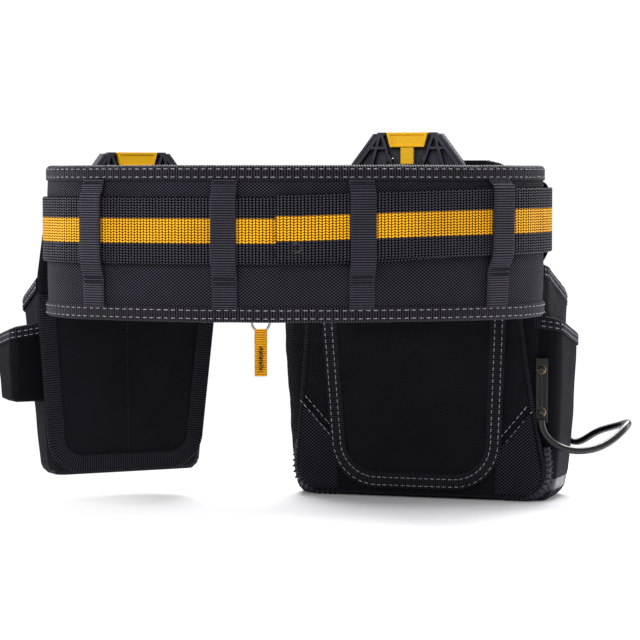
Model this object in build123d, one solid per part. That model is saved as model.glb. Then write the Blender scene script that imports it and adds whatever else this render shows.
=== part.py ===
from build123d import *
import os
from math import atan2, cos, degrees, radians, sin, sqrt

# A carpenter's tool belt: a padded waist ring with a web belt and side-release buckle, two hubs that slide
# on the web belt, and two pouches that clip onto the hubs. Units are millimetres.
# Origin: on the floor under the centre of the waist ring. +Z up, +Y towards the buckle (the wearer's front).

# ---- driving dimensions -------------------------------------------------------------------------------
# Waist ring: an oval of four arcs, given for the pad's outer face.
HALF_WIDTH = 195.0
BACK_R = 293.0                      # front and back arcs
END_R = 78.0                        # arcs at the hips
PAD_BOTTOM, PAD_TOP = 162.0, 281.0
SHELL_T, FOAM_T, LINING_T = 1.6, 10.0, 2.0
LAYER_GAP = 0.1
BINDING_H, BINDING_T = 11.5, 0.8
PAD_END_LEFT, PAD_END_RIGHT = -16.0, 6.0   # the pad is open between these angles at the front

WEB_BOTTOM, WEB_TOP = 206.0, 256.8
WEB_T = 2.4
WEB_OFFSET = 2.2                    # inner layer's clearance from the pad
TAIL_OFFSET = 5.2                   # outer layer's
TAIL_END_X = -16.0                  # the tail's cut end at the wearer's back
TAIL_RISE = 2.4                     # the tail rides a little higher than the layer under it
EYELET_R, EYELET_OUT_R = 2.7, 4.1
EYELET_FROM_END, EYELET_FROM_EDGE = 15.5, 10.5

LOOP_W, LOOP_T = 20.0, 1.5
LOOP_PLACES = (-276.0, -165.5, -55.5, 48.5, 163.0, 276.0)    # along the pad from the wearer's back
LOOP_OFFSET = 8.0

# Hubs and clips, in a frame with x along the belt, y outwards from the pad's face and z up.
RIGHT_ANGLE, LEFT_ANGLE = 17.4, -26.7
RIGHT_HUB_TOP, LEFT_HUB_TOP = 310.0, 293.0
HUB_HALF_W, HUB_TOP_HALF_W = 47.5, 25.5
HUB_SHOULDER, HUB_H = 29.0, 112.0
HUB_Y0, HUB_SKIN_Y, HUB_Y1 = 8.6, 12.6, 14.6
TUNNEL_TOP, TUNNEL_BOTTOM = 34.0, 105.0    # below the hub's top; the web belt passes between them
BRIDGE_HALF_DEG = 3.3
HUB_WALL = 2.2
SPRING_Y = 10.3
SCREW_X, SCREW_DROP = 15.0, 109.2    # from the hub's top
FIT = 0.4

# Pouches, in the same frame.
CLIP_Y1 = 18.6
CLIP_DROP, CLIP_GROW = 100.0, 4.0    # the clip plate's height, and its reach beyond the hub's edges
RIVET_X, RIVET_HOLE_R = 30.0, 2.1
PAD_Y0 = 15.0
BOARD_Y0, BOARD_Y1 = 19.0, 23.0
BODY_Y0 = 23.3
WALL = 2.6
CLEAR = 0.3

HANG_X = -33.0
HANG_R, HANG_WIRE = 7.6, 1.0
TAB_W, TAB_L = 10.6, 42.0

CENTRE_Y = sqrt((BACK_R - END_R) ** 2 - (HALF_WIDTH - END_R) ** 2)
END_X = HALF_WIDTH - END_R
JOIN_DEG = degrees(atan2(END_X, CENTRE_Y))
PAD_T = SHELL_T + FOAM_T + LINING_T + 2 * LAYER_GAP


# ---- helpers ------------------------------------------------------------------------------------------
def oval(offset):
    """The ring's outline moved outwards by offset, as a face."""
    big, small = BACK_R + offset, END_R + offset
    side = 180 - 2 * JOIN_DEG
    arcs = [
        CenterArc((0, CENTRE_Y), big, -90 - JOIN_DEG, 2 * JOIN_DEG),
        CenterArc((END_X, 0), small, -90 + JOIN_DEG, side),
        CenterArc((0, -CENTRE_Y), big, 90 - JOIN_DEG, 2 * JOIN_DEG),
        CenterArc((-END_X, 0), small, 90 + JOIN_DEG, side),
    ]
    return make_face(arcs)


def ring(inner, outer, low, high):
    """A band of the ring between two offsets and two heights."""
    band = oval(outer) - oval(inner)
    return Pos(0, 0, low) * extrude(band, high - low)


def far_point(angle, offset=0.0):
    """A point on the front arc: angle in degrees from +Y towards +X, offset outwards."""
    r = BACK_R + offset
    return (r * sin(radians(angle)), r * cos(radians(angle)) - CENTRE_Y)


def front_frame(angle):
    """Places x along the belt, y outwards and z up at an angle on the front arc."""
    x, y = far_point(angle)
    return Location((x, y, 0), (0, 0, -angle))


def back_frame(arc_length):
    """The same at a distance along the pad from the middle of the wearer's back, towards +X."""
    side = 1 if arc_length > 0 else -1
    length = abs(arc_length)
    straight = BACK_R * radians(JOIN_DEG)
    if length <= straight + 0.5:
        turn = degrees(length / BACK_R)
        x, y = BACK_R * sin(radians(turn)), CENTRE_Y - BACK_R * cos(radians(turn))
        return Location((side * x, y, 0), (0, 0, 180 + side * turn))
    turn = JOIN_DEG + degrees((length - straight) / END_R)
    x, y = END_X + END_R * sin(radians(turn)), -END_R * cos(radians(turn))
    return Location((side * x, y, 0), (0, 0, 180 + side * turn))


def block(x0, x1, y0, y1, z0, z1):
    return Pos((x0 + x1) / 2, (y0 + y1) / 2, (z0 + z1) / 2) * Box(x1 - x0, y1 - y0, z1 - z0)


def slab(points, y0, y1, radius=0.0):
    """An outline in x and z, given thickness along y, its corners rounded."""
    wire = Polyline(*[(x, z) for x, z in points], close=True)
    face = make_face(wire)
    if radius:
        face = fillet(face.vertices(), radius)
    return Pos(0, y0, 0) * (Rot(90, 0, 0) * extrude(face, -(y1 - y0)))


def wedge(points, low, high):
    """An outline in x and y, given height."""
    return Pos(0, 0, low) * extrude(make_face(Polyline(*points, close=True)), high - low)


def rod(x, y, z, radius, length, turn=(90, 0, 0)):
    return Location((x, y, z), turn) * Cylinder(radius, length)


def write(name, shape):
    solids = shape if isinstance(shape, list) else [shape]
    solids = [s for item in solids for s in item.solids()]
    export_step(Compound(children=solids) if len(solids) > 1 else solids[0], f"parts/{name}.step")


# ---- waist pad ----------------------------------------------------------------------------------------
def pad_gap():
    """The opening between the pad's two ends at the front."""
    corners = [(PAD_END_LEFT, -60), (PAD_END_LEFT, 60), (PAD_END_RIGHT, 60), (PAD_END_RIGHT, -60)]
    return wedge([far_point(angle, offset) for angle, offset in corners], 0, 400)


def pad_layers():
    """The pad's cloth, foam and lining, and the tapes folded over its two edges."""
    gap = pad_gap()
    low, high = PAD_BOTTOM + 2, PAD_TOP - 2
    outside = 0.0
    layers = (("pad_outer_shell", SHELL_T), ("pad_foam_core", FOAM_T), ("pad_mesh_lining", LINING_T))
    for name, thick in layers:
        write(name, ring(outside - thick, outside, low, high) - gap)
        outside -= thick + LAYER_GAP
    covered = ring(-PAD_T - 0.05, 0.05, PAD_BOTTOM + 1.9, PAD_TOP - 1.9)
    for name, tape_low in (("pad_top_binding", PAD_TOP - BINDING_H), ("pad_bottom_binding", PAD_BOTTOM)):
        tape = ring(-PAD_T - BINDING_T, BINDING_T, tape_low, tape_low + BINDING_H)
        write(name, tape - covered - gap)


def belt_loops():
    """Straps sewn to the pad above and below the web belt, standing clear of it in between."""
    face, out = 0.35, LOOP_OFFSET
    low, high = PAD_BOTTOM + BINDING_H + 0.2, PAD_TOP - BINDING_H - 0.2
    rise, fall = WEB_BOTTOM - 6, WEB_TOP + TAIL_RISE + 5
    profile = [
        (face, low), (face, rise - 6), (out, rise), (out, fall), (face, fall + 4), (face, high),
        (face + LOOP_T, high), (face + LOOP_T, fall + 5), (out + LOOP_T, fall + 1),
        (out + LOOP_T, rise - 1), (face + LOOP_T, rise - 7), (face + LOOP_T, low),
    ]
    outline = make_face(Polyline(*profile, close=True))
    strap = Pos(-LOOP_W / 2, 0, 0) * (Rot(90, 90, 0) * extrude(outline, LOOP_W))
    write("belt_loops", [back_frame(place) * strap for place in LOOP_PLACES])


# ---- web belt and buckle ------------------------------------------------------------------------------
BUCKLE_ANGLE = 1.6
BUCKLE_HALF, BUCKLE_HALF_H = 30.0, 33.0
BUCKLE_Y0, BUCKLE_Y1 = 2.7, 15.5
BUCKLE_WALL = 2.5
WEB_MID = (WEB_BOTTOM + WEB_TOP) / 2
WEB_SLOT_HALF = 27.0
WEB_ENTRY = 18.0                    # the web's ends reach this close to the buckle's middle


def web_belt():
    gap = front_frame(BUCKLE_ANGLE) * block(-WEB_ENTRY, WEB_ENTRY, -30, 60, 0, 400)
    write("web_belt", ring(WEB_OFFSET, WEB_OFFSET + WEB_T, WEB_BOTTOM, WEB_TOP) - gap)


def web_tail():
    """The belt's loose end, folded back at the buckle and run round the right hip to the back."""
    start_x = far_point(BUCKLE_ANGLE)[0] + WEB_ENTRY
    corners = [(TAIL_END_X, -400), (400, -400), (400, 400), (start_x, 400), (start_x, 0), (TAIL_END_X, 0)]
    band = ring(TAIL_OFFSET, TAIL_OFFSET + WEB_T, WEB_BOTTOM + TAIL_RISE, WEB_TOP + TAIL_RISE)
    x = TAIL_END_X + EYELET_FROM_END
    y = CENTRE_Y - sqrt((BACK_R + TAIL_OFFSET) ** 2 - x ** 2)
    at = Location((x, y, WEB_BOTTOM + TAIL_RISE + EYELET_FROM_EDGE), (90, 0, 0))
    write("web_belt_tail", (band & wedge(corners, 0, 400)) - at * Cylinder(EYELET_R + 0.5, 20))
    tube = Cylinder(EYELET_R + 0.45, WEB_T + 0.6) - Cylinder(EYELET_R, 10)
    flange = Cylinder(EYELET_OUT_R, 0.35) - Cylinder(EYELET_R, 10)
    eyelet = tube
    for side in (-1, 1):
        eyelet += Pos(0, 0, side * (WEB_T / 2 + 0.2)) * flange
    write("tail_eyelet", at * Pos(0, 0, WEB_T / 2) * eyelet)


def web_slots(body, side):
    """Cuts the two slots that the web belt is threaded through, and its recess, at one end of the buckle."""
    for x in (18.5, 25.5):
        x0, x1 = sorted((side * (x - 2.2), side * (x + 2.2)))
        body -= block(x0, x1, -5, 30, WEB_MID - WEB_SLOT_HALF, WEB_MID + WEB_SLOT_HALF)
    x0, x1 = sorted((side * (WEB_ENTRY - 2), side * 60))
    recess = TAIL_OFFSET + WEB_T + 0.6
    return body - block(x0, x1, 0, recess, WEB_MID - WEB_SLOT_HALF - 2, WEB_MID + WEB_SLOT_HALF + 2)


def upright_box(x0, x1, half, radius, y0, y1):
    points = [(x0, WEB_MID - half), (x1, WEB_MID - half), (x1, WEB_MID + half), (x0, WEB_MID + half)]
    return slab(points, y0, y1, radius)


def buckle():
    """A side-release buckle: a socket, a plug with a spine and two arms that are squeezed together."""
    at = front_frame(BUCKLE_ANGLE)
    half = BUCKLE_HALF_H
    inside = BUCKLE_Y0 + BUCKLE_WALL, BUCKLE_Y1 - BUCKLE_WALL
    socket = upright_box(-6, BUCKLE_HALF, half, 6, BUCKLE_Y0, BUCKLE_Y1)
    socket -= block(-7, 14, *inside, WEB_MID - half + BUCKLE_WALL, WEB_MID + half - BUCKLE_WALL)
    for z in (WEB_MID - half, WEB_MID + half):
        socket -= block(-7, 9, *inside, z - 8, z + 8)
    write("buckle_socket", at * web_slots(socket, 1))

    plug = upright_box(-BUCKLE_HALF, -8.5, half - 2, 5, BUCKLE_Y0, BUCKLE_Y1 - 1.0)
    plug = web_slots(plug, -1) + block(-10, 12, inside[0] + 0.3, inside[1] - 0.3, WEB_MID - 8, WEB_MID + 8)
    write("buckle_plug", at * plug)

    for name, side in (("buckle_arm_top", 1), ("buckle_arm_bottom", -1)):
        base = WEB_MID + side * (half - 12)
        outline = [(-8, 0), (3, 0), (12.5, 1), (12.5, 5.5), (8.7, 6.4), (6.5, 13), (-2, 12.4), (-8, 6)]
        arm = slab([(x, base + side * z) for x, z in outline], inside[0] + 0.3, inside[1] - 0.3)
        write(name, at * arm)


HANGER_HALF_W = 9.0
EYE_R = 2.0                         # room for the ring's curve to turn in
EYE_HALF_W = 3.2
FOLD_T = 1.1


def fold_over(y, z, toward):
    """The narrow fold that holds the ring, round an axis along x; toward is +1 if the strap runs upwards."""
    reach = EYE_R + FOLD_T
    fold = rod(0, y, z, reach, 2 * EYE_HALF_W, (0, 90, 0))
    fold += block(-EYE_HALF_W, EYE_HALF_W, y - 1.3, y + 1.3, *sorted((z + toward * 1.5, z + toward * 8)))
    return fold - rod(0, y, z, EYE_R, 40, (0, 90, 0))


def hanger_and_tab():
    """A strap sewn round the web belt carries a steel ring, and a webbing pull tab hangs on the ring."""
    at = front_frame(degrees(atan2(HANG_X, BACK_R)))
    y = WEB_OFFSET + WEB_T / 2
    pivot_z = PAD_BOTTOM - 5.0
    inner = y - WEB_T / 2 - 0.6, y + WEB_T / 2 + 0.6
    outer = inner[0] - FOLD_T, inner[1] + FOLD_T
    strap = block(-HANGER_HALF_W, HANGER_HALF_W, *outer, WEB_BOTTOM - 6, WEB_TOP + 2.5)
    strap -= block(-HANGER_HALF_W - 1, HANGER_HALF_W + 1, *inner, WEB_BOTTOM - 1.5, WEB_TOP + 1.3)
    strap += block(-HANGER_HALF_W, HANGER_HALF_W, y - 1.3, y + 1.3, pivot_z + 7, WEB_BOTTOM - 5)
    write("ring_hanger", at * (strap + fold_over(y, pivot_z, 1)))
    centre_z = pivot_z - HANG_R
    write("hang_ring", at * Location((0, y, centre_z), (90, 0, 0)) * Torus(HANG_R, HANG_WIRE))
    low_z = centre_z - HANG_R
    strip = block(-TAB_W / 2, TAB_W / 2, y - 1.3, y + 1.3, low_z + 4 - TAB_L, low_z - 7)
    write("pull_tab", at * (fold_over(y, low_z, -1) + strip))


# ---- hubs ---------------------------------------------------------------------------------------------
def hub_outline(top, grow=0.0, bottom=None):
    """The hub's upright outline: straight sides, sloping shoulders and a flat top."""
    low = top - HUB_H if bottom is None else bottom
    shoulder = top - HUB_SHOULDER
    wide, narrow = HUB_HALF_W + grow, HUB_TOP_HALF_W + grow
    return [(-wide, low), (wide, low), (wide, shoulder), (narrow, top), (-narrow, top), (-wide, shoulder)]


def bar(x0, z0, x1, z1, width, y0, y1):
    """A straight rib from one point to another."""
    length = sqrt((x1 - x0) ** 2 + (z1 - z0) ** 2)
    turn = degrees(atan2(z1 - z0, x1 - x0))
    place = Location(((x0 + x1) / 2, (y0 + y1) / 2, (z0 + z1) / 2), (0, -turn, 0))
    return place * Box(length, y1 - y0, width)


def hub_rib(top, x0, drop0, x1, drop1):
    """A rib behind the hub's skin, between two points given by x and the drop from the hub's top."""
    return bar(x0, top - drop0, x1, top - drop1, HUB_WALL, HUB_Y0, HUB_SKIN_Y)


def hub_ribs(top):
    """The side ribs, mirrored, and the one bar across the top of the belt's tunnel."""
    ribs = []
    one_side = ((19.5, 13, 34.5, 13), (24, 2, 32, 31), (22.5, 2, 12, 31), (12, 78, 30, 106))
    for side in (-1, 1):
        for x0, drop0, x1, drop1 in one_side:
            ribs.append(hub_rib(top, side * x0, drop0, side * x1, drop1))
    bar_drop = TUNNEL_TOP - 2
    ribs.append(hub_rib(top, -HUB_HALF_W + 1, bar_drop, HUB_HALF_W - 1, bar_drop))
    return ribs


def latch_room(top):
    """The space the latch's head, stem and spring need, with clearance."""
    head_outline = [(-16.4, top - 18.6), (16.4, top - 18.6), (19.4, top + 1), (-19.4, top + 1)]
    head = slab(head_outline, HUB_Y0 - 1, HUB_SKIN_Y)
    stem = block(-6.6, 6.6, HUB_Y0 - 1, HUB_SKIN_Y, top - TUNNEL_TOP - 10, top - 10)
    spring = block(-4.5, 4.5, HUB_Y0 - 1, HUB_SKIN_Y, top - TUNNEL_TOP - 11.1, top - TUNNEL_TOP - 6)
    return head, stem, spring


def hub_plate(top):
    """The hub: a thin skin with a rim and ribs on its inner side, room for the latch, and its holes."""
    inside = hub_outline(top - HUB_WALL, -HUB_WALL, top - HUB_H + HUB_WALL)
    rim = slab(hub_outline(top), HUB_Y0, HUB_SKIN_Y) - slab(inside, HUB_Y0 - 1, HUB_SKIN_Y + 1)
    plate = slab(hub_outline(top), HUB_SKIN_Y, HUB_Y1) + rim
    for rib in hub_ribs(top):
        plate += rib
    for room in latch_room(top):
        plate -= room
    for side in (-1, 1):
        plate -= rod(side * 18, HUB_Y0, top - 25.5, 1.1, 20)
        plate -= rod(side * SCREW_X, HUB_Y0, top - SCREW_DROP, 1.5, 20)
        plate -= rod(side * 40, HUB_Y0, top - 29.2, 1.5, 20)
    return plate


def belt_sector(inner, outer, low, high):
    """A piece of the front arc, centred on the hub, between two radii and two heights."""
    half = radians(BRIDGE_HALF_DEG)
    corners = []
    for radius, turns in ((outer, (-half, 0, half)), (inner, (half, 0, -half))):
        corners.append([(radius * sin(turn), radius * cos(turn) - BACK_R) for turn in turns])
    far, near = corners
    edges = [ThreePointArc(*far), Line(far[-1], near[0]), ThreePointArc(*near), Line(near[-1], far[0])]
    return Pos(0, 0, low) * extrude(make_face(edges), high - low)


def hub_bridge(top):
    """A curved strap behind the web belt, joined to the plate above and below the belt's tunnel."""
    inner, outer = BACK_R + 0.95, BACK_R + 2.05
    low, high = top - HUB_H + 0.5, top - TUNNEL_TOP + 7.5
    front = HUB_Y0 - 0.1
    bridge = belt_sector(inner, outer, low, high)
    for z0, z1 in ((low, top - TUNNEL_BOTTOM), (top - TUNNEL_TOP, high)):
        bridge += belt_sector(inner, BACK_R + 12, z0, z1) & block(-60, 60, -20, front, z0, z1)
    stem_room = block(-6.8, 6.8, HUB_Y0 - 3.5, HUB_Y0 + 2, top - TUNNEL_TOP - 1, high + 1)
    return bridge - stem_room


def hub_screws(top):
    depth = HUB_Y1 - HUB_Y0
    middle = HUB_Y0 + depth / 2 + 0.2
    return [rod(side * SCREW_X, middle, top - SCREW_DROP, 1.3, depth - 0.9) for side in (-1, 1)]


def release_latch(top):
    """A T-shaped thumb slide with a recessed face; its stem runs down to the return spring."""
    y0, y1 = HUB_Y0 - 0.7, HUB_SKIN_Y - 0.3
    head = slab([(-14.8, top - 12.4), (14.8, top - 12.4), (18.0, top), (-18.0, top)], y0, y1)
    dish_outline = [(-12.4, top - 10.4), (12.4, top - 10.4), (15.2, top - 2.2), (-15.2, top - 2.2)]
    dish = slab(dish_outline, y0 - 1, y0 + 1.0)
    stem = block(-5.6, 5.6, y0 + 0.6, y1, top - 36, top - 11)
    peg = block(-0.9, 0.9, SPRING_Y - 0.9, SPRING_Y + 0.9, top - 38.5, top - 35.9)
    return head - dish + stem + peg


def latch_spring(top):
    """A coil spring under the latch's stem."""
    pitch, height, radius, wire_r = 1.5, 7.4, 1.75, 0.3
    helix = Helix(pitch, height, radius)
    profile = Plane(helix @ 0, z_dir=helix % 0) * Circle(wire_r)
    return Pos(0, SPRING_Y, top - 44.6) * sweep(profile, path=helix)


def rivet_places(top):
    """Where the clip is riveted to the pouch's board, as (x, z)."""
    return [(x, z) for x in (-RIVET_X, RIVET_X) for z in (top - CLIP_DROP + 12, top - 44)]


def clip_plate(top):
    """The pouch's half of the clip: its flanges sit on the hub's shoulders and hold its edges."""
    bottom = top - CLIP_DROP
    plate = slab(hub_outline(top - 1.0, CLIP_GROW, bottom), HUB_Y1 + 0.5, CLIP_Y1)
    outer = slab(hub_outline(top - 1.0, CLIP_GROW, bottom), HUB_Y0, HUB_Y1 + 0.6)
    inner = slab(hub_outline(top + FIT, FIT, bottom - 5), HUB_Y0 - 1, HUB_Y1 + 0.5)
    latch_gap = block(-HUB_TOP_HALF_W - 2, HUB_TOP_HALF_W + 2, 0, 30, top - 6, top + 5)
    plate += outer - inner - latch_gap
    low, high = bottom, top - HUB_SHOULDER - 4
    lip_y0, lip_y1 = HUB_Y0 - 2.0, HUB_Y0 - FIT
    for side in (-1, 1):
        edge = side * (HUB_HALF_W + CLIP_GROW)
        plate += block(*sorted((side * (HUB_HALF_W - 3.0), edge)), lip_y0, lip_y1, low, high)
        plate += block(*sorted((side * (HUB_HALF_W + FIT), edge)), lip_y0, HUB_Y0 + 0.1, low, high)
    for x, z in rivet_places(top):
        plate -= rod(x, CLIP_Y1, z, RIVET_HOLE_R, 20)
    return plate


def clip_rivets(top):
    start, end = HUB_Y1 + 1.0, BOARD_Y1 + 1.0
    rivets = []
    for x, z in rivet_places(top):
        shank = rod(x, (start + end) / 2, z, RIVET_HOLE_R - 0.2, end - start)
        rivets.append(shank + rod(x, BOARD_Y1 + 1.3, z, 4.2, 1.4))
    return rivets


def hubs():
    for side, angle, top in (("right", RIGHT_ANGLE, RIGHT_HUB_TOP), ("left", LEFT_ANGLE, LEFT_HUB_TOP)):
        at = front_frame(angle)
        write(f"{side}_hub_plate", at * hub_plate(top))
        write(f"{side}_hub_bridge", at * hub_bridge(top))
        write(f"{side}_hub_screws", [at * s for s in hub_screws(top)])
        write(f"{side}_release_latch", at * release_latch(top))
        write(f"{side}_latch_spring", at * latch_spring(top))
        write(f"{side}_clip_plate", at * clip_plate(top))
        write(f"{side}_clip_rivets", [at * r for r in clip_rivets(top)])


# ---- pouches ------------------------------------------------------------------------------------------
RIGHT_AT, LEFT_AT = front_frame(RIGHT_ANGLE), front_frame(LEFT_ANGLE)


def section(x0, x1, y0, y1, z, radius):
    """A rounded rectangle at a height, for lofting."""
    width, depth = x1 - x0, y1 - y0
    return Pos((x0 + x1) / 2, (y0 + y1) / 2, z) * RectangleRounded(width, depth, radius)


def solid_bag(low, high, grow=0.0, radius=14.0):
    """A bag's outside as a solid, grown sideways and forwards."""
    levels = []
    for x0, x1, y0, y1, z in (low, high):
        levels.append(section(x0 - grow, x1 + grow, y0 - grow, y1 + grow, z, radius + grow))
    return loft(levels)


def inner_section(level, wall, radius):
    x0, x1, y0, y1, z = level
    return section(x0 + wall, x1 - wall, y0 + wall, y1 - wall, z, radius - wall)


def bucket(low, high, wall, radius=14.0):
    """An open-topped bag lofted between two levels, each (x0, x1, y0, y1, z)."""
    over = 20.0
    share = 1 + over / (high[4] - low[4])
    above = [a + (b - a) * share for a, b in zip(low, high)]
    floor_level = low[:4] + (low[4] + wall,)
    hollow = loft([inner_section(floor_level, wall, radius), inner_section(above, wall, radius)])
    return solid_bag(low, high, 0.0, radius) - hollow


def slanted_cut(x0, x1, y0, z0, y1, z1):
    """Everything above a plane that runs from (y0, z0) to (y1, z1)."""
    slope = (z1 - z0) / (y1 - y0)
    a, b = y0 - 60, y1 + 60
    points = [(a, z0 + slope * (a - y0)), (b, z0 + slope * (b - y0)), (b, z0 + 400), (a, z0 + 400)]
    outline = make_face(Polyline(*points, close=True))
    return Pos(x0, 0, 0) * (Rot(90, 90, 0) * extrude(outline, x1 - x0))


def board(outline, radius, top):
    """The stiff back of a pouch, with holes for the clip's rivets."""
    plate = slab(outline, BOARD_Y0, BOARD_Y1, radius)
    for x, z in rivet_places(top):
        plate -= rod(x, BOARD_Y1, z, RIVET_HOLE_R, 40)
    return plate


def drawn_in(outline, by, raise_top=0.0):
    """An outline moved inwards at its sides and bottom, its top moved up by raise_top."""
    low, high = min(z for _, z in outline), max(z for _, z in outline)
    rise = {low: by, high: raise_top}
    return [(x - by if x > 0 else x + by, z + rise.get(z, 0.0)) for x, z in outline]


RIGHT_BOARD = [(-103, 4), (121, 4), (106, 78), (94, 157), (90, 287), (-62, 287), (-91, 150)]
RIGHT_U = [(-68, 8), (79, 8), (84, 150), (84, 193), (-77.5, 193), (-77.5, 150)]
U_TRIM_W, U_DEEP = 13.0, 3.6
U_OUTER_R, U_INNER_R = 24, 12
RIGHT_LOW = (-104, 119, BODY_Y0, 92.0, 0.0)
RIGHT_HIGH = (-118, 115, BODY_Y0, 118.0, 206.0)
RIGHT_RIM_BACK, RIGHT_RIM_FRONT = 200.0, 168.0
RIGHT_FRONT_LOW, RIGHT_FRONT_HIGH = (-81, 87, 60, 122, 8), (-87, 93, 80, 150, 140)
RIGHT_SIDE_LOW, RIGHT_SIDE_HIGH = (100, 126, 34, 86, 14), (95, 131, 34, 104, 156)

LEFT_BOARD = [(-75, 27), (60, 27), (74, 150), (67, 268), (-74, 268), (-85, 190)]
LEFT_U = [(-75, 27), (60, 27), (74, 150), (74, 176), (-84, 176), (-83.5, 150)]
LEFT_TRIM_W = 13.0
LEFT_LOW = (-70, 66, BODY_Y0, 66.0, 23.0)
LEFT_HIGH = (-80, 84, BODY_Y0, 84.0, 200.0)
LEFT_RIM_BACK, LEFT_RIM_FRONT = 194.0, 165.0
LEFT_FRONT_LOW, LEFT_FRONT_HIGH = (-56, 54, 40, 86, 30), (-60, 64, 50, 104, 130)
LEFT_SIDE_LOW, LEFT_SIDE_HIGH = (-103, -60, 30, 64, 85), (-105, -60, 30, 72, 156)
WIDE = 200.0                        # wider than any pouch, for cuts


def rim_binding(low, high, rim_back, rim_front):
    """A tape folded over the bag's mouth."""
    gap, thick, deep = 0.15, 0.8, 9.0
    front = high[3]
    band = solid_bag(low, high, gap + thick) - solid_bag(low, high, gap)
    above = slanted_cut(-WIDE, WIDE, BODY_Y0, rim_back + 0.2, front, rim_front + 0.2)
    below = slanted_cut(-WIDE, WIDE, BODY_Y0, rim_back - deep, front, rim_front - deep)
    return (band & below) - above - block(-WIDE, WIDE, 0, BODY_Y0 + 0.01, -5, 400)


def right_back():
    """The board, with a U-shaped pad on the wearer's side and a wide tape round the pad."""
    y0, y1 = PAD_Y0, PAD_Y0 + U_DEEP
    write("right_back_board", RIGHT_AT * board(RIGHT_BOARD, 20, RIGHT_HUB_TOP))
    write("right_back_pad", RIGHT_AT * slab(drawn_in(RIGHT_U, U_TRIM_W), y0 + 0.3, y1, U_INNER_R))
    hollow = slab(drawn_in(RIGHT_U, U_TRIM_W - 0.2, 20), y0 - 1, y1 + 1, U_INNER_R)
    write("right_back_trim", RIGHT_AT * (slab(RIGHT_U, y0, y1, U_OUTER_R) - hollow))


def right_pouch():
    """The larger pouch: its back, bag, inner divider and two outer pockets, and its hammer loop."""
    right_back()
    rim = slanted_cut(-WIDE, WIDE, BODY_Y0, RIGHT_RIM_BACK, RIGHT_HIGH[3], RIGHT_RIM_FRONT)
    write("right_pouch_shell", RIGHT_AT * (bucket(RIGHT_LOW, RIGHT_HIGH, WALL) - rim))
    write("right_rim_binding", RIGHT_AT * rim_binding(RIGHT_LOW, RIGHT_HIGH, RIGHT_RIM_BACK, RIGHT_RIM_FRONT))
    clear_of_bag = solid_bag(RIGHT_LOW, RIGHT_HIGH, CLEAR)
    pocket = bucket(RIGHT_FRONT_LOW, RIGHT_FRONT_HIGH, WALL, 9) - slanted_cut(-WIDE, WIDE, 100, 136, 150, 118)
    write("right_front_pocket", RIGHT_AT * (pocket - clear_of_bag))
    pocket = bucket(RIGHT_SIDE_LOW, RIGHT_SIDE_HIGH, WALL, 6) - slanted_cut(0, WIDE, 34, 154, 104, 138)
    write("right_side_pocket", RIGHT_AT * (pocket - clear_of_bag))
    write("right_divider", RIGHT_AT * block(-100, 112, 66, 68.4, 8, 150))
    hammer_straps()
    hammer_rod()


HAMMER_STRAP = (10.0, 2.2, 54.0)    # width, thickness and height
HAMMER_RIVET_Z = 18.0               # above and below the strap's middle
HAMMER_MID_Z = 94.0
HAMMER_NEAR = (114.0, 21.5)         # x and y of the strap beside the board
HAMMER_FAR = (99.0, 105.5)          # and of the one on the bag's front, which leans with the bag
HAMMER_LEAN = degrees(atan2(RIGHT_HIGH[3] - RIGHT_LOW[3], RIGHT_HIGH[4]))
HAMMER_ROD_R = 3.0


def hammer_straps():
    """Two riveted steel straps that carry the rod."""
    straps, rivets = [], []
    for (x, y), lean, outward in ((HAMMER_NEAR, 0, -1), (HAMMER_FAR, -HAMMER_LEAN, 1)):
        place = RIGHT_AT * Location((x, y, HAMMER_MID_Z), (lean, 0, 0))
        strap = Box(*HAMMER_STRAP)
        for z in (-HAMMER_RIVET_Z, HAMMER_RIVET_Z):
            strap -= rod(0, 0, z, 1.7, 20)
            head = rod(0, outward * (HAMMER_STRAP[1] / 2 + 0.85), z, 3.9, 1.5)
            rivets.append(place * (rod(0, 0, z, 1.6, 2.8) + head))
        straps.append(place * strap)
    write("hammer_straps", straps)
    write("hammer_rivets", rivets)


def hammer_rod():
    """A bent steel rod, welded over the straps' lower ends, that stands out to the side of the pouch."""
    (near_x, _), (far_x, _) = HAMMER_NEAR, HAMMER_FAR
    points = [
        (near_x, 20, 70), (near_x + 3, 20, 58), (near_x + 14, 20.5, 48), (near_x + 39, 29, 44.5),
        (near_x + 58, 46, 54), (near_x + 65, 64, 64), (near_x + 54, 82, 61),
        (far_x + 43, 97, 51), (far_x + 16, 106, 50), (far_x + 3, 106, 58), (far_x, 104.8, 71),
    ]
    path = Spline(*points, tangents=((0, 0, -1), (0, 0, 1)))
    start = Plane(path @ 0, z_dir=path % 0) * Circle(HAMMER_ROD_R)
    write("hammer_loop", RIGHT_AT * sweep(start, path=path))


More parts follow.
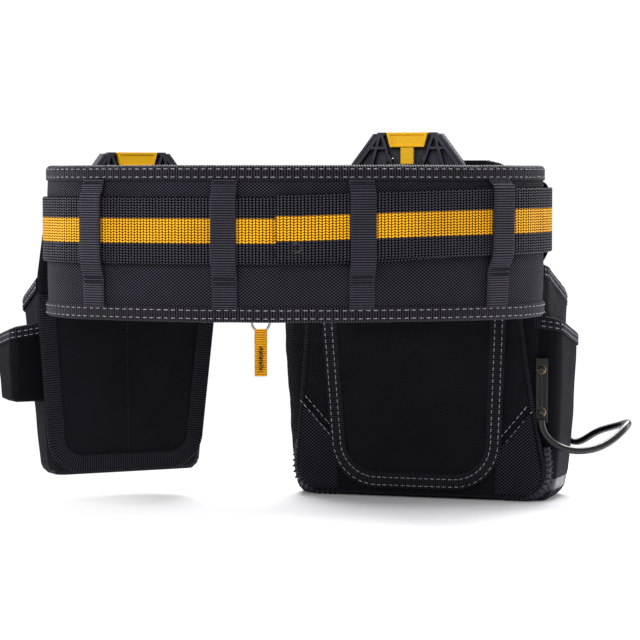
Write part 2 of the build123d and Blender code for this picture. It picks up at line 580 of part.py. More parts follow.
def left_pouch():
    """The smaller pouch: its back with a U-shaped tape, bag and two outer pockets."""
    y0, y1 = PAD_Y0 + 1.2, BOARD_Y0 - 0.2
    write("left_back_board", LEFT_AT * board(LEFT_BOARD, 14, LEFT_HUB_TOP))
    hollow = slab(drawn_in(LEFT_U, LEFT_TRIM_W, 24), y0 - 1, y1 + 1, 8)
    write("left_back_trim", LEFT_AT * (slab(LEFT_U, y0, y1, 12) - hollow))
    rim = slanted_cut(-WIDE, WIDE, BODY_Y0, LEFT_RIM_BACK, LEFT_HIGH[3], LEFT_RIM_FRONT)
    write("left_pouch_shell", LEFT_AT * (bucket(LEFT_LOW, LEFT_HIGH, WALL) - rim))
    write("left_rim_binding", LEFT_AT * rim_binding(LEFT_LOW, LEFT_HIGH, LEFT_RIM_BACK, LEFT_RIM_FRONT))
    clear_of_bag = solid_bag(LEFT_LOW, LEFT_HIGH, CLEAR)
    pocket = bucket(LEFT_FRONT_LOW, LEFT_FRONT_HIGH, WALL, 8) - slanted_cut(-WIDE, WIDE, 80, 126, 110, 116)
    write("left_front_pocket", LEFT_AT * (pocket - clear_of_bag))
    pocket = bucket(LEFT_SIDE_LOW, LEFT_SIDE_HIGH, WALL, 5) - slanted_cut(-WIDE, 0, 30, 150, 76, 140)
    write("left_side_pocket", LEFT_AT * (pocket - clear_of_bag))


def main():
    os.makedirs("parts", exist_ok=True)
    pad_layers()
    belt_loops()
    web_belt()
    web_tail()
    buckle()
    hanger_and_tab()
    hubs()
    right_pouch()
    left_pouch()


main()
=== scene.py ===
"""Looks for the padded tool belt. Lengths in this script are millimetres; MM turns them into metres."""

from math import atan2, cos, hypot, pi, radians, sin, sqrt

import bmesh
import bpy
from mathutils import Matrix, Vector, noise


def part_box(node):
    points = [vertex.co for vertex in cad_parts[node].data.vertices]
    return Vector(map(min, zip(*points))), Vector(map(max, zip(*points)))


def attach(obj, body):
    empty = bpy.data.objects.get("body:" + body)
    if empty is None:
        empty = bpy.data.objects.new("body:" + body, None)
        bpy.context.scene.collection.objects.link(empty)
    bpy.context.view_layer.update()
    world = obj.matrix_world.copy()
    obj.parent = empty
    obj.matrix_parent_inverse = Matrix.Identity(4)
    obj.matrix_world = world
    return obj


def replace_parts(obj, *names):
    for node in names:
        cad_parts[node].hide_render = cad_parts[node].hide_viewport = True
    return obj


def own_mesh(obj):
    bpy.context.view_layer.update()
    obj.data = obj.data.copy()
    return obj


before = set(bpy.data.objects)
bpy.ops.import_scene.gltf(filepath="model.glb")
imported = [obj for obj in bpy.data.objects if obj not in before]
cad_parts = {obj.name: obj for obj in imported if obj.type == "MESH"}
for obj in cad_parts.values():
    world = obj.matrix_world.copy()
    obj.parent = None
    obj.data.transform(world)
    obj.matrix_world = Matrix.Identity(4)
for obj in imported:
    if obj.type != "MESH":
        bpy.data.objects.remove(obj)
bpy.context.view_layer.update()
MM = 0.001

# ---- driving dimensions, the same as the CAD model's --------------------------------------------------
HALF_WIDTH, BACK_R, END_R = 195.0, 293.0, 78.0
END_X = HALF_WIDTH - END_R
CENTRE_Y = sqrt((BACK_R - END_R) ** 2 - END_X**2)
JOIN = atan2(END_X, CENTRE_Y)
PAD_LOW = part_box("pad_bottom_binding")[0].z / MM
PAD_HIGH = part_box("pad_top_binding")[1].z / MM
PAD_T = 13.8
BINDING_H = 11.5
WEB_LOW, WEB_HIGH = (corner.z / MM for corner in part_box("web_belt"))
TAIL_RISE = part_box("web_belt_tail")[0].z / MM - WEB_LOW
WEB_T, WEB_OFFSET, TAIL_OFFSET = 2.4, 2.2, 5.2
TAIL_END_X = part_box("web_belt_tail")[0].x / MM
LOOP_W, LOOP_OFFSET = 20.0, 8.0
LOOP_PLACES = (-276.0, -165.5, -55.5, 48.5, 163.0, 276.0)
RIGHT_ANGLE, LEFT_ANGLE = radians(17.4), radians(-26.7)
BACK_ARC = BACK_R * JOIN
HIP_ARC = END_R * (pi - 2 * JOIN)
HALF_ROUND = 2 * BACK_ARC + HIP_ARC
PAD_START = -(HALF_ROUND - BACK_R * radians(16.0))
PAD_END = HALF_ROUND - BACK_R * radians(6.0)


# ---- places -------------------------------------------------------------------------------------------
LEFT_HIP, HIP_REACH, HIP_FULLNESS = -240.0, 90.0, 5.2


def hip_fullness(s):
    """How far the soft belt stands out past the plain ring at the left hip."""
    away = min(1.0, abs(s - LEFT_HIP) / HIP_REACH)
    return HIP_FULLNESS * cos(away * pi / 2) ** 2


def ring_place(s, offset=0.0):
    """Position, outward normal and tangent at arc length s from the middle of the back, towards +X."""
    side = 1 if s >= 0 else -1
    offset += hip_fullness(s)
    s = abs(s)
    if s <= BACK_ARC:
        turn = s / BACK_R
        cx, cy, r = 0.0, CENTRE_Y, BACK_R
    elif s <= BACK_ARC + HIP_ARC:
        turn = JOIN + (s - BACK_ARC) / END_R
        cx, cy, r = END_X, 0.0, END_R
    else:
        turn = pi - JOIN + (s - BACK_ARC - HIP_ARC) / BACK_R
        cx, cy, r = 0.0, -CENTRE_Y, BACK_R
    r += offset
    place = Vector((side * (cx + r * sin(turn)), cy - r * cos(turn), 0.0))
    normal = Vector((side * sin(turn), -cos(turn), 0.0))
    return place, normal, Vector((-normal.y, normal.x, 0.0))


def front_matrix(angle):
    """Local x along the belt, y outwards and z up, at an angle on the front arc, in millimetres."""
    place = Vector((BACK_R * sin(angle), BACK_R * cos(angle) - CENTRE_Y, 0.0))
    return Matrix.Translation(place) @ Matrix.Rotation(-angle, 4, "Z")


RIGHT = front_matrix(RIGHT_ANGLE)
LEFT = front_matrix(LEFT_ANGLE)


def wobble(point, size, seed=0.0):
    """Smooth noise from -1 to 1 at a point in millimetres, with features about size across."""
    return noise.noise(Vector(point) / size + Vector((seed, seed * 1.7, -seed)))


# ---- mesh building ------------------------------------------------------------------------------------
def face_outwards(mesh):
    """Turns a closed mesh's faces outwards."""
    work = bmesh.new()
    work.from_mesh(mesh)
    bmesh.ops.recalc_face_normals(work, faces=work.faces)
    work.to_mesh(mesh)
    work.free()


def add_piece(name, verts, faces, uvs, body, material, slot, smooth=True, closed=True):
    """A mesh object from points in millimetres; uvs holds one (u, v) in millimetres per vertex."""
    mesh = bpy.data.meshes.new(name)
    mesh.from_pydata([Vector(v) * MM for v in verts], [], faces)
    if uvs:
        layer = mesh.uv_layers.new(name="Cloth")
        for loop in mesh.loops:
            u, v = uvs[loop.vertex_index]
            layer.data[loop.index].uv = (u * MM, v * MM)
    mesh.materials.append(material)
    if closed:
        face_outwards(mesh)
    for polygon in mesh.polygons:
        polygon.use_smooth = smooth
    obj = bpy.data.objects.new(name, mesh)
    bpy.context.scene.collection.objects.link(obj)
    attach(obj, body)
    return obj


def add_modifier(obj, kind, **settings):
    modifier = obj.modifiers.new(kind.title(), kind)
    for key, value in settings.items():
        setattr(modifier, key, value)
    return modifier


def bevel(obj, width, segments=2):
    return add_modifier(obj, "BEVEL", width=width * MM, segments=segments, limit_method="ANGLE",
                        angle_limit=radians(35), harden_normals=False)


def grid_faces(rows, cols, wrap_rows=False, wrap_cols=False):
    faces = []
    for i in range(rows if wrap_rows else rows - 1):
        for j in range(cols if wrap_cols else cols - 1):
            a, b = i * cols + j, i * cols + (j + 1) % cols
            c, d = ((i + 1) % rows) * cols + (j + 1) % cols, ((i + 1) % rows) * cols + j
            faces.append((a, b, c, d))
    return faces


def sweep(stations, section, closed=True):
    """Rings of a section (across, out) along stations of (place, out, up, u). Gives verts, faces and uvs."""
    verts, uvs = [], []
    count = len(section)
    run = [0.0]
    for (a, b), (c, d) in zip(section, section[1:]):
        run.append(run[-1] + hypot(c - a, d - b))
    if closed:
        run = [across for across, _ in section]
    for place, out, up, u in stations:
        for k, (across, off) in enumerate(section):
            verts.append(place + up * across + out * off)
            uvs.append((u, run[k]))
    faces = grid_faces(len(stations), count, wrap_cols=closed)
    if closed:
        faces.append(tuple(reversed(range(count))))
        last = (len(stations) - 1) * count
        faces.append(tuple(range(last, last + count)))
    return verts, faces, uvs


def tape_section(width, thick, edge=0.5, steps=8):
    """A flat tape's section with softened edges, centred across, from 0 to thick outwards."""
    half = width / 2
    inner = [(-half + edge + (width - 2 * edge) * k / steps, 0.0) for k in range(steps + 1)]
    outer = [(x, thick) for x, _ in reversed(inner)]
    low, high = thick * 0.3, thick * 0.7
    return inner + [(half, low), (half, high)] + outer + [(-half, high), (-half, low)]


def ring_stations(s0, s1, z, offset=0.0, step=4.0, lift=None):
    """Stations along the waist ring, at height z, their out direction the ring's normal."""
    count = max(2, round((s1 - s0) / step))
    found = []
    for k in range(count + 1):
        s = s0 + (s1 - s0) * k / count
        place, normal, _ = ring_place(s, offset + (lift(s) if lift else 0.0))
        found.append((place + Vector((0, 0, z)), normal, Vector((0, 0, 1)), s))
    return found


def line_stations(points, normal, step):
    """Stations along a polyline whose flat side faces along normal; across lies in the plane of the line."""
    dense = resample(points, step)
    found = []
    u = 0.0
    for k, p in enumerate(dense):
        a, b = dense[max(k - 1, 0)], dense[min(k + 1, len(dense) - 1)]
        along = (b - a).normalized()
        if k:
            u += (p - dense[k - 1]).length
        found.append((p, normal, normal.cross(along).normalized(), u))
    return found


def resample(points, step):
    """Points at an even spacing along a polyline."""
    points = [Vector(p) for p in points]
    lengths = [0.0]
    for a, b in zip(points, points[1:]):
        lengths.append(lengths[-1] + (b - a).length)
    count = max(2, round(lengths[-1] / step))
    found, k = [], 0
    for i in range(count + 1):
        goal = lengths[-1] * i / count
        while k < len(points) - 2 and lengths[k + 1] < goal:
            k += 1
        span = max(lengths[k + 1] - lengths[k], 1e-9)
        found.append(points[k].lerp(points[k + 1], (goal - lengths[k]) / span))
    return found


def curve_points(points, per=8):
    """A smooth Catmull-Rom curve through points."""
    points = [Vector(p) for p in points]
    ends = [2 * points[0] - points[1]] + points + [2 * points[-1] - points[-2]]
    found = []
    for a, b, c, d in zip(ends, ends[1:], ends[2:], ends[3:]):
        for k in range(per):
            t = k / per
            found.append(0.5 * (2 * b + (c - a) * t + (2 * a - 5 * b + 4 * c - d) * t * t
                                + (3 * b - a - 3 * c + d) * t**3))
    return found + [points[-1]]


def tube(points, radius, sides=10, closed=False):
    """A round cord along points, with capped ends. radius may be a function of the share along it."""
    points = [Vector(p) for p in points]
    verts, uvs = [], []
    up = Vector((0, 0, 1))
    run = 0.0
    for k, p in enumerate(points):
        before = points[k - 1] if k or closed else p
        after = points[(k + 1) % len(points)] if k < len(points) - 1 or closed else p
        along = (after - before).normalized()
        side = along.cross(up)
        side = along.cross(Vector((0, 1, 0))) if side.length < 0.2 else side
        side.normalize()
        up = side.cross(along).normalized()
        run += (p - points[k - 1]).length if k else 0.0
        r = radius(k / (len(points) - 1)) if callable(radius) else radius
        for j in range(sides):
            turn = 2 * pi * j / sides
            verts.append(p + (side * cos(turn) + up * sin(turn)) * r)
            uvs.append((run, r * turn))
    faces = grid_faces(len(points), sides, wrap_rows=closed, wrap_cols=True)
    if not closed:
        faces.append(tuple(reversed(range(sides))))
        last = (len(points) - 1) * sides
        faces.append(tuple(range(last, last + sides)))
    return verts, faces, uvs


def join_parts(parts):
    """One mesh's verts, faces and uvs from several."""
    verts, faces, uvs = [], [], []
    for v, f, t in parts:
        base = len(verts)
        verts += v
        uvs += t
        faces += [tuple(i + base for i in face) for face in f]
    return verts, faces, uvs


def one_stitch(centre, along, out, length, radius):
    """A thread stitch: a short arc that dives into the cloth at both ends."""
    steps = 4
    points = []
    for k in range(steps + 1):
        t = k / steps * 2 - 1
        lift = radius * (0.75 * (1 - t * t) - 0.45 * t**4)
        points.append(centre + along * (t * length / 2) + out * lift)
    return tube(points, lambda share: radius * (0.55 + 0.45 * sin(pi * share)), sides=6)


def stitch_row(stations, across=0.0, off=0.0, pitch=6.0, length=4.6, radius=0.42):
    """Stitches along stations, set across the tape by across and out by off."""
    parts = []
    start, end = stations[0][3], stations[-1][3]
    count = int((end - start) / pitch)
    k = 0
    for i in range(count):
        goal = start + pitch * (i + 0.5)
        while k < len(stations) - 2 and stations[k + 1][3] < goal:
            k += 1
        (p, out, up, u0), (q, out1, up1, u1) = stations[k], stations[k + 1]
        share = (goal - u0) / max(u1 - u0, 1e-9)
        shift = 0.25 * sin(i * 2.4)
        place = p.lerp(q, share) + up.lerp(up1, share) * across + out.lerp(out1, share) * off
        along = (q + up1 * across - p - up * across).normalized()
        tilt = (along + up * (0.05 * sin(i * 1.7))).normalized()
        parts.append(one_stitch(place + along * shift, tilt, out, length, radius))
    return parts


# ---- materials ----------------------------------------------------------------------------------------
class Nodes:
    """A short way to build a node tree: each call adds a node and returns its output socket."""

    def __init__(self, name):
        self.material = bpy.data.materials.new(name)
        self.material.use_nodes = True
        self.tree = self.material.node_tree
        self.shader = self.tree.nodes["Principled BSDF"]

    def put(self, socket, value):
        if isinstance(value, bpy.types.NodeSocket):
            self.tree.links.new(value, socket)
        else:
            socket.default_value = value

    def add(self, kind, *values, output=0, **settings):
        """Adds a node, sets or links its inputs in order and returns one output."""
        node = self.tree.nodes.new(kind)
        for key, value in settings.items():
            setattr(node, key, value)
        for socket, value in zip(node.inputs, values):
            if value is not None:
                self.put(socket, value)
        return node.outputs[output]

    def maths(self, operation, *values):
        return self.add("ShaderNodeMath", *values, operation=operation)

    def noise(self, vector, scale, detail=3.0, roughness=0.55):
        node = self.tree.nodes.new("ShaderNodeTexNoise")
        self.put(node.inputs["Vector"], vector)
        node.inputs["Scale"].default_value = scale
        node.inputs["Detail"].default_value = detail
        node.inputs["Roughness"].default_value = roughness
        return node.outputs["Fac"]

    def ramp(self, value, low, high, to_low=0.0, to_high=1.0):
        node = self.tree.nodes.new("ShaderNodeMapRange")
        for socket, given in zip(node.inputs, (value, low, high, to_low, to_high)):
            self.put(socket, given)
        return node.outputs[0]

    def mix(self, share, a, b):
        node = self.tree.nodes.new("ShaderNodeMix")
        node.data_type = "RGBA"
        self.put(node.inputs[0], share)
        self.put(node.inputs[6], a)
        self.put(node.inputs[7], b)
        return node.outputs[2]

    def uv(self):
        """The cloth's own (u, v) in metres, as two sockets."""
        vector = self.add("ShaderNodeUVMap", output=0, uv_map="Cloth")
        split = self.tree.nodes.new("ShaderNodeSeparateXYZ")
        self.put(split.inputs[0], vector)
        return split.outputs[0], split.outputs[1]

    def place(self):
        return self.add("ShaderNodeTexCoord", output=3)

    def set(self, name, value):
        self.put(self.shader.inputs[name], value)

    def bump(self, height, distance, strength=1.0, below=None):
        node = self.tree.nodes.new("ShaderNodeBump")
        node.inputs["Distance"].default_value = distance
        node.inputs["Strength"].default_value = strength
        self.put(node.inputs["Height"], height)
        if below is not None:
            self.put(node.inputs["Normal"], below)
        return node.outputs[0]


def rgb(red, green, blue):
    """A linear colour from one given as it looks on a screen, 0 to 255."""
    return tuple((c / 255) ** 2.2 for c in (red, green, blue)) + (1.0,)


def waves(nodes, value, pitch):
    """|sin| along value, one hump per pitch in metres."""
    turned = nodes.maths("MULTIPLY", value, pi / pitch)
    return nodes.maths("ABSOLUTE", nodes.maths("SINE", turned))


def paler(colour, scale, lift):
    return tuple(min(1.0, c * scale + lift) for c in colour[:3]) + (1.0,)


def cloth_finish(nodes, colour, height, depth, roughness, sheen, lint=0.10, folds=0.0, shine=0.16):
    """Shades a woven surface: painted shade in the gaps of the weave and a painted highlight on its raised
    tops, which are also shinier; slow variation, sheen and bump.
    """
    place = nodes.place()
    slow = nodes.noise(place, 28.0, 4.0)
    fine = nodes.noise(place, 900.0, 2.0)
    # Painted shade and highlight: the weave's height scales its colour from very dark in the gaps to much
    # paler on the tops; the noise below adds random variation and lint.
    yarn_painted_shade = nodes.ramp(height, 0.25, 1.0, 0.08, 2.9)
    painted_shade_and_tone = nodes.maths("MULTIPLY", yarn_painted_shade, nodes.ramp(slow, 0.3, 0.7, 0.86, 1.16))
    painted_shade_and_tone = nodes.maths("MULTIPLY", painted_shade_and_tone, nodes.ramp(fine, 0.25, 0.75, 1.0 - lint, 1.0 + lint))
    colour = colour if isinstance(colour, bpy.types.NodeSocket) else colour[:3]
    scaled = nodes.add("ShaderNodeVectorMath", colour, operation="SCALE")
    nodes.put(scaled.node.inputs["Scale"], painted_shade_and_tone)
    nodes.set("Base Color", scaled)
    nodes.set("Roughness", nodes.ramp(height, 0.0, 1.0, min(1.0, roughness + 0.12), roughness - 0.06))
    nodes.set("Sheen Weight", sheen)
    nodes.set("Sheen Roughness", 0.45)
    nodes.set("Sheen Tint", (0.72, 0.74, 1.0, 1.0))
    nodes.set("Specular IOR Level", nodes.ramp(height, 0.4, 1.0, 0.0, 3.0 * shine))
    broad = nodes.bump(nodes.noise(place, 55.0, 3.0), 0.002 + folds, 0.35)
    nodes.set("Normal", nodes.bump(height, depth, 0.9, broad))
    return nodes.material


def ballistic(name, colour, pitch, roughness=0.62, sheen=0.03, depth=0.0006, shine=0.16):
    """A coarse plain weave: humps in a checkerboard."""
    nodes = Nodes(name)
    u, v = nodes.uv()
    a = nodes.maths("SINE", nodes.maths("MULTIPLY", u, 2 * pi / (pitch * MM)))
    b = nodes.maths("SINE", nodes.maths("MULTIPLY", v, 2 * pi / (pitch * 0.8 * MM)))
    height = nodes.ramp(nodes.maths("MULTIPLY", a, b), -1.0, 1.0)
    return cloth_finish(nodes, colour, height, depth, roughness, sheen, shine=shine)


def grosgrain(name, colour, pitch, shine=0.16):
    """Ribs across a tape, with fine yarns along it."""
    nodes = Nodes(name)
    u, v = nodes.uv()
    ribs = waves(nodes, u, pitch * MM)
    yarns = waves(nodes, v, 0.9 * MM)
    height = nodes.maths("MULTIPLY_ADD", ribs, 0.72, nodes.maths("MULTIPLY", yarns, 0.28))
    return cloth_finish(nodes, colour, height, 0.00055, 0.55, 0.03, shine=shine)


def twill(name, colour, pitch=1.9):
    """A close diagonal weave that reads as smooth cloth."""
    nodes = Nodes(name)
    u, v = nodes.uv()
    slanted = nodes.maths("ADD", u, nodes.maths("MULTIPLY", v, 0.7))
    height = waves(nodes, slanted, pitch * MM)
    return cloth_finish(nodes, colour, height, 0.00022, 0.7, 0.01, lint=0.16, folds=0.001, shine=0.05)


def belt_weave(name):
    """Herringbone webbing with a yellow stripe along its middle; v runs up from the belt's lower edge."""
    nodes = Nodes(name)
    u, v = nodes.uv()
    column = 2.6 * MM
    zig = nodes.maths("PINGPONG", u, column)
    slanted = nodes.maths("ADD", v, nodes.maths("MULTIPLY", zig, 0.42))
    floats = waves(nodes, slanted, 2.05 * MM)
    columns = waves(nodes, u, column)
    height = nodes.maths("MULTIPLY", floats, nodes.ramp(columns, 0.05, 0.75, 0.0, 1.0))
    middle = nodes.maths("ABSOLUTE", nodes.maths("SUBTRACT", v, 25.4 * MM))
    ragged = nodes.maths("MULTIPLY_ADD", floats, 0.4 * MM, middle)
    stripe = nodes.ramp(ragged, 9.65 * MM, 9.85 * MM, 1.0, 0.0)
    yellow = nodes.mix(height, rgb(255, 172, 22), rgb(190, 134, 14))
    colour = nodes.mix(stripe, rgb(37, 36, 43), yellow)
    return cloth_finish(nodes, colour, height, 0.0007, 0.5, 0.02, lint=0.06)


def moulded(name, colour, roughness=0.38, painted_shade_strength=0.3, lift=1.5):
    """Moulded plastic: fine spark texture, random paler patches of wear, and painted shade: darker in its
    recesses and paler where it stands proud.
    """
    nodes = Nodes(name)
    place = nodes.place()
    spark = nodes.noise(place, 1500.0, 2.0)
    slow = nodes.noise(place, 40.0, 3.0)
    # Painted shade: an ambient occlusion mask paints recesses darker and open, proud surfaces paler; the
    # slow patches below are wear.
    ao_painted_shade = nodes.add("ShaderNodeAmbientOcclusion", None, 6 * MM, output=1)
    patches = nodes.ramp(slow, 0.45, 0.8, 0.0, 0.25)
    paler_share = nodes.maths("ADD", patches, nodes.ramp(ao_painted_shade, 0.45, 0.95, 0.0, painted_shade_strength))
    nodes.set("Base Color", nodes.mix(paler_share, colour, paler(colour, lift, 0.012)))
    nodes.set("Roughness", nodes.ramp(slow, 0.3, 0.7, roughness - 0.06, roughness + 0.12))
    nodes.set("Specular IOR Level", 0.3)
    nodes.set("Normal", nodes.bump(spark, 0.00012, 0.5))
    return nodes.material


def metal(name, colour, roughness=0.2, coat=0.0, metallic=1.0):
    """Wire and plate: small scuffs and an optional gloss coat."""
    nodes = Nodes(name)
    place = nodes.place()
    scuff = nodes.noise(place, 260.0, 5.0, 0.65)
    paler_share = nodes.ramp(scuff, 0.55, 0.8, 0.0, 0.35)
    nodes.set("Base Color", nodes.mix(paler_share, colour, paler(colour, 2.2, 0.02)))
    nodes.set("Metallic", metallic)
    nodes.set("Roughness", nodes.ramp(scuff, 0.35, 0.75, roughness, roughness + 0.16))
    nodes.set("Coat Weight", coat)
    nodes.set("Coat Roughness", 0.08)
    nodes.set("Normal", nodes.bump(nodes.noise(place, 700.0, 2.0), 0.00006, 0.4))
    return nodes.material


def thread(name, colour):
    """Twisted sewing thread."""
    nodes = Nodes(name)
    u, v = nodes.uv()
    twist = waves(nodes, nodes.maths("ADD", u, v), 0.45 * MM)
    return cloth_finish(nodes, colour, twist, 0.00012, 0.6, 0.1, lint=0.05)


def hide(name, colour):
    """Smooth, slightly shiny coated leather with a fine pebble grain."""
    nodes = Nodes(name)
    place = nodes.place()
    cells = nodes.tree.nodes.new("ShaderNodeTexVoronoi")
    nodes.put(cells.inputs["Vector"], place)
    cells.inputs["Scale"].default_value = 620.0
    slow = nodes.noise(place, 60.0, 4.0)
    worn = nodes.ramp(slow, 0.35, 0.75, 0.0, 0.5)
    nodes.set("Base Color", nodes.mix(worn, colour, paler(colour, 1.9, 0.006)))
    nodes.set("Roughness", nodes.ramp(slow, 0.3, 0.7, 0.3, 0.48))
    broad = nodes.bump(nodes.noise(place, 90.0, 4.0), 0.0012, 0.5)
    nodes.set("Normal", nodes.bump(cells.outputs["Distance"], 0.0002, 0.6, broad))
    return nodes.material


PAD_CLOTH = ballistic("pad_ballistic", rgb(36, 35, 42), pitch=3.0)
POUCH_CLOTH = ballistic("pouch_ballistic", rgb(24, 24, 30), pitch=2.8, shine=0.1)
PATCH_CLOTH = ballistic("patch_ballistic", rgb(34, 33, 41), pitch=3.4, depth=0.0009, shine=0.12)
SMOOTH_CLOTH = twill("smooth_twill", rgb(20, 20, 25))
# The side pockets' twill is the smooth twill painted darker, as painted shade on the pockets that face
# sideways.
SIDE_TWILL_PAINTED_SHADE = twill("side_twill_painted_shade", rgb(16, 16, 21))
MESH_CLOTH = ballistic("spacer_mesh", rgb(22, 21, 26), pitch=3.4, depth=0.0014, roughness=0.8)
TAPE = grosgrain("ribbed_tape", rgb(27, 25, 31), pitch=2.1, shine=0.12)
LOOP_TAPE = grosgrain("loop_tape", rgb(37, 35, 42), pitch=1.9, shine=0.13)
TRIM_TAPE = grosgrain("trim_tape", rgb(26, 25, 31), pitch=2.0, shine=0.08)
YELLOW_TAPE = grosgrain("yellow_tape", rgb(206, 138, 18), pitch=1.5)
BELT_WEB = belt_weave("belt_webbing")
WHITE_THREAD = thread("pale_thread", rgb(146, 146, 154))
BLACK_THREAD = thread("black_thread", rgb(24, 23, 29))
# The plastics' ribs and edges are painted paler, and their recesses darker, as painted shade from the
# ambient occlusion mask in moulded().
BLACK_PLASTIC = moulded("black_plastic", rgb(24, 24, 30), painted_shade_strength=0.9, lift=5.5)
GREY_PLASTIC = moulded("cover_plastic", rgb(62, 63, 72))
YELLOW_PLASTIC = moulded("yellow_plastic", rgb(255, 184, 8), roughness=0.45, painted_shade_strength=0.5, lift=1.25)
STEEL = metal("wire_steel", rgb(190, 190, 196), 0.18)
SPRING_STEEL = metal("spring_wire", rgb(150, 150, 158), 0.25)
BLACK_STEEL = metal("coated_steel", rgb(12, 12, 16), 0.3, coat=0.4, metallic=0.2)
STRAP_STEEL = metal("strap_steel", rgb(16, 16, 19), 0.5, coat=0.1, metallic=0.1)
BRASS = metal("rivet_brass", rgb(176, 140, 78), 0.3)
HIDE = hide("coated_hide", rgb(36, 39, 49))


# ---- waist pad ----------------------------------------------------------------------------------------
def pad_bulge(s, z):
    """How far the pad's outer cloth stands out: fuller between the bindings, with soft creases."""
    share = (z - PAD_LOW) / (PAD_HIGH - PAD_LOW)
    edge = min(share, 1 - share) * (PAD_HIGH - PAD_LOW)
    full = min(1.0, max(0.0, (edge - 4) / 18))
    below_web = 1.0 if z < WEB_LOW else 0.35
    crease = wobble((s, z * 1.7, 0), 34.0, 2.0) * 0.7 + wobble((s * 0.6, z * 3.0, 9), 17.0, 5.0) * 0.35
    return full * (0.75 + crease * below_web)


def pad_surface(name, material, slot, inner):
    """One face of the pad, turned over its top and bottom edges into the bindings."""
    step, rows = 3.0, 44
    count = round((PAD_END - PAD_START) / step)
    low, high = PAD_LOW + 1.0, PAD_HIGH - 1.0
    verts, uvs = [], []
    for i in range(count + 1):
        s = PAD_START + (PAD_END - PAD_START) * i / count
        place, normal, _ = ring_place(s)
        for j in range(rows + 1):
            z = low + (high - low) * j / rows
            off = pad_bulge(s, z)
            if inner:
                dimple = 0.35 * sin(s * 2 * pi / 9.0) * sin(z * 2 * pi / 9.0)
                off = -PAD_T - pad_bulge(s + 400, z) * 1.1 - dimple
            verts.append(place + normal * off + Vector((0, 0, z)))
            uvs.append((s, z))
    faces = grid_faces(count + 1, rows + 1)
    obj = add_piece(name, verts, faces, uvs, "belt", material, slot, closed=False)
    add_modifier(obj, "SOLIDIFY", thickness=1.4 * MM, offset=-1.0 if inner else 1.0)
    return obj


def build_pad():
    outer = pad_surface("pad_outer_cover", PAD_CLOTH, "pad_fabric", inner=False)
    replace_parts(outer, "pad_outer_shell")
    lining = pad_surface("pad_inner_mesh", MESH_CLOTH, "mesh", inner=True)
    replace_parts(lining, "pad_mesh_lining")
    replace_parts(pad_core(), "pad_foam_core")
    for name, low, node in (
        ("pad_binding_top", PAD_HIGH - BINDING_H, "pad_top_binding"),
        ("pad_binding_bottom", PAD_LOW, "pad_bottom_binding"),
    ):
        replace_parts(binding(name, low), node)


def pad_core():
    """The foam, which shows only at the pad's two open ends."""
    section = [(-57.0, -1.6), (57.0, -1.6), (57.0, -PAD_T + 1.6), (-57.0, -PAD_T + 1.6)]
    middle = (PAD_LOW + PAD_HIGH) / 2
    stations = ring_stations(PAD_START + 0.8, PAD_END - 0.8, middle, step=8.0)
    return add_piece("pad_foam", *sweep(stations, section), "belt", MESH_CLOTH, "foam", smooth=False)


def binding_section(high_side):
    """A tape folded over the pad's edge: out along the outer face, over the edge and down the inner face."""
    h, t, r = BINDING_H, 0.9, 3.6
    outer, inner = t + 0.35, -PAD_T - t - 0.35
    points = []
    sign = 1 if high_side else -1
    edge = h if high_side else 0.0
    base = 0.0 if high_side else h
    for k in range(7):
        points.append((base + (edge - sign * r - base) * k / 6, outer))
    for k in range(1, 9):
        turn = pi / 2 * k / 8
        points.append((edge - sign * r + sign * r * sin(turn), outer - r * (1 - cos(turn))))
    for k in range(1, 9):
        turn = pi / 2 * k / 8
        points.append((edge - sign * r + sign * r * cos(turn), inner + r * (1 - sin(turn))))
    for k in range(1, 7):
        points.append((edge - sign * r + (base - edge + sign * r) * k / 6, inner))
    return points


def binding(name, low):
    high_side = low > (PAD_LOW + PAD_HIGH) / 2
    section = binding_section(high_side)
    stations = ring_stations(PAD_START - 0.6, PAD_END + 0.6, low, step=3.0)
    waved = []
    for place, out, up, s in stations:
        rise = 0.25 * wobble((s, low, 3), 30.0)
        waved.append((place + up * rise, out, up, s))
    obj = add_piece(name, *sweep(waved, section, closed=False), "belt", TAPE, "webbing", closed=False)
    add_modifier(obj, "SOLIDIFY", thickness=0.9 * MM, offset=0.0)
    add_modifier(obj, "SUBSURF", levels=1, render_levels=1)
    rows = []
    for height in (2.1, 8.3):
        across = height + 0.6
        rows += stitch_row(waved, across=across, off=1.74, pitch=6.0, length=3.5, radius=0.3)
        inner = [(p + out * (-PAD_T - 1.75), -out, up, s) for p, out, up, s in waved]
        rows += stitch_row(inner, across=across, off=0.05, pitch=6.0, length=3.5, radius=0.3)
    add_piece(name + "_stitches", *join_parts(rows), "belt", WHITE_THREAD, "webbing")
    return obj


# ---- web belt and loops -------------------------------------------------------------------------------
BUCKLE_ARC = BACK_R * radians(1.6)
BUCKLE_HALF = 17.5
TAIL_CLIMB, TAIL_DIP = 5.4, 0.4    # how far the tail rises at the right hip, and dips at its ends
CUT_THREADS, CUT_MARGIN = 17, 1.6    # loose threads at the tail's cut end


def web_sag(s):
    """The web belt stands off the pad a little more between two loops than under them."""
    nearest = min(abs(s - place) for place in LOOP_PLACES)
    return 0.3 * (1 - cos(min(1.0, nearest / 55.0) * pi)) / 2


def tail_climb(s):
    """The tail rides up on its way round the right hip."""
    return TAIL_CLIMB * sin(pi * min(1.0, max(0.0, s) / HALF_ROUND)) - TAIL_DIP


def inner_climb(s):
    """The layer under the tail follows it, so that the tail hides it."""
    fade = max(0.0, min(1.0, s / 120.0, (430.0 - s) / 60.0))
    return (tail_climb(s) + TAIL_RISE - 0.6) * fade


def climbing(stations, climb):
    return [(place + up * climb(s), out, up, s) for place, out, up, s in stations]


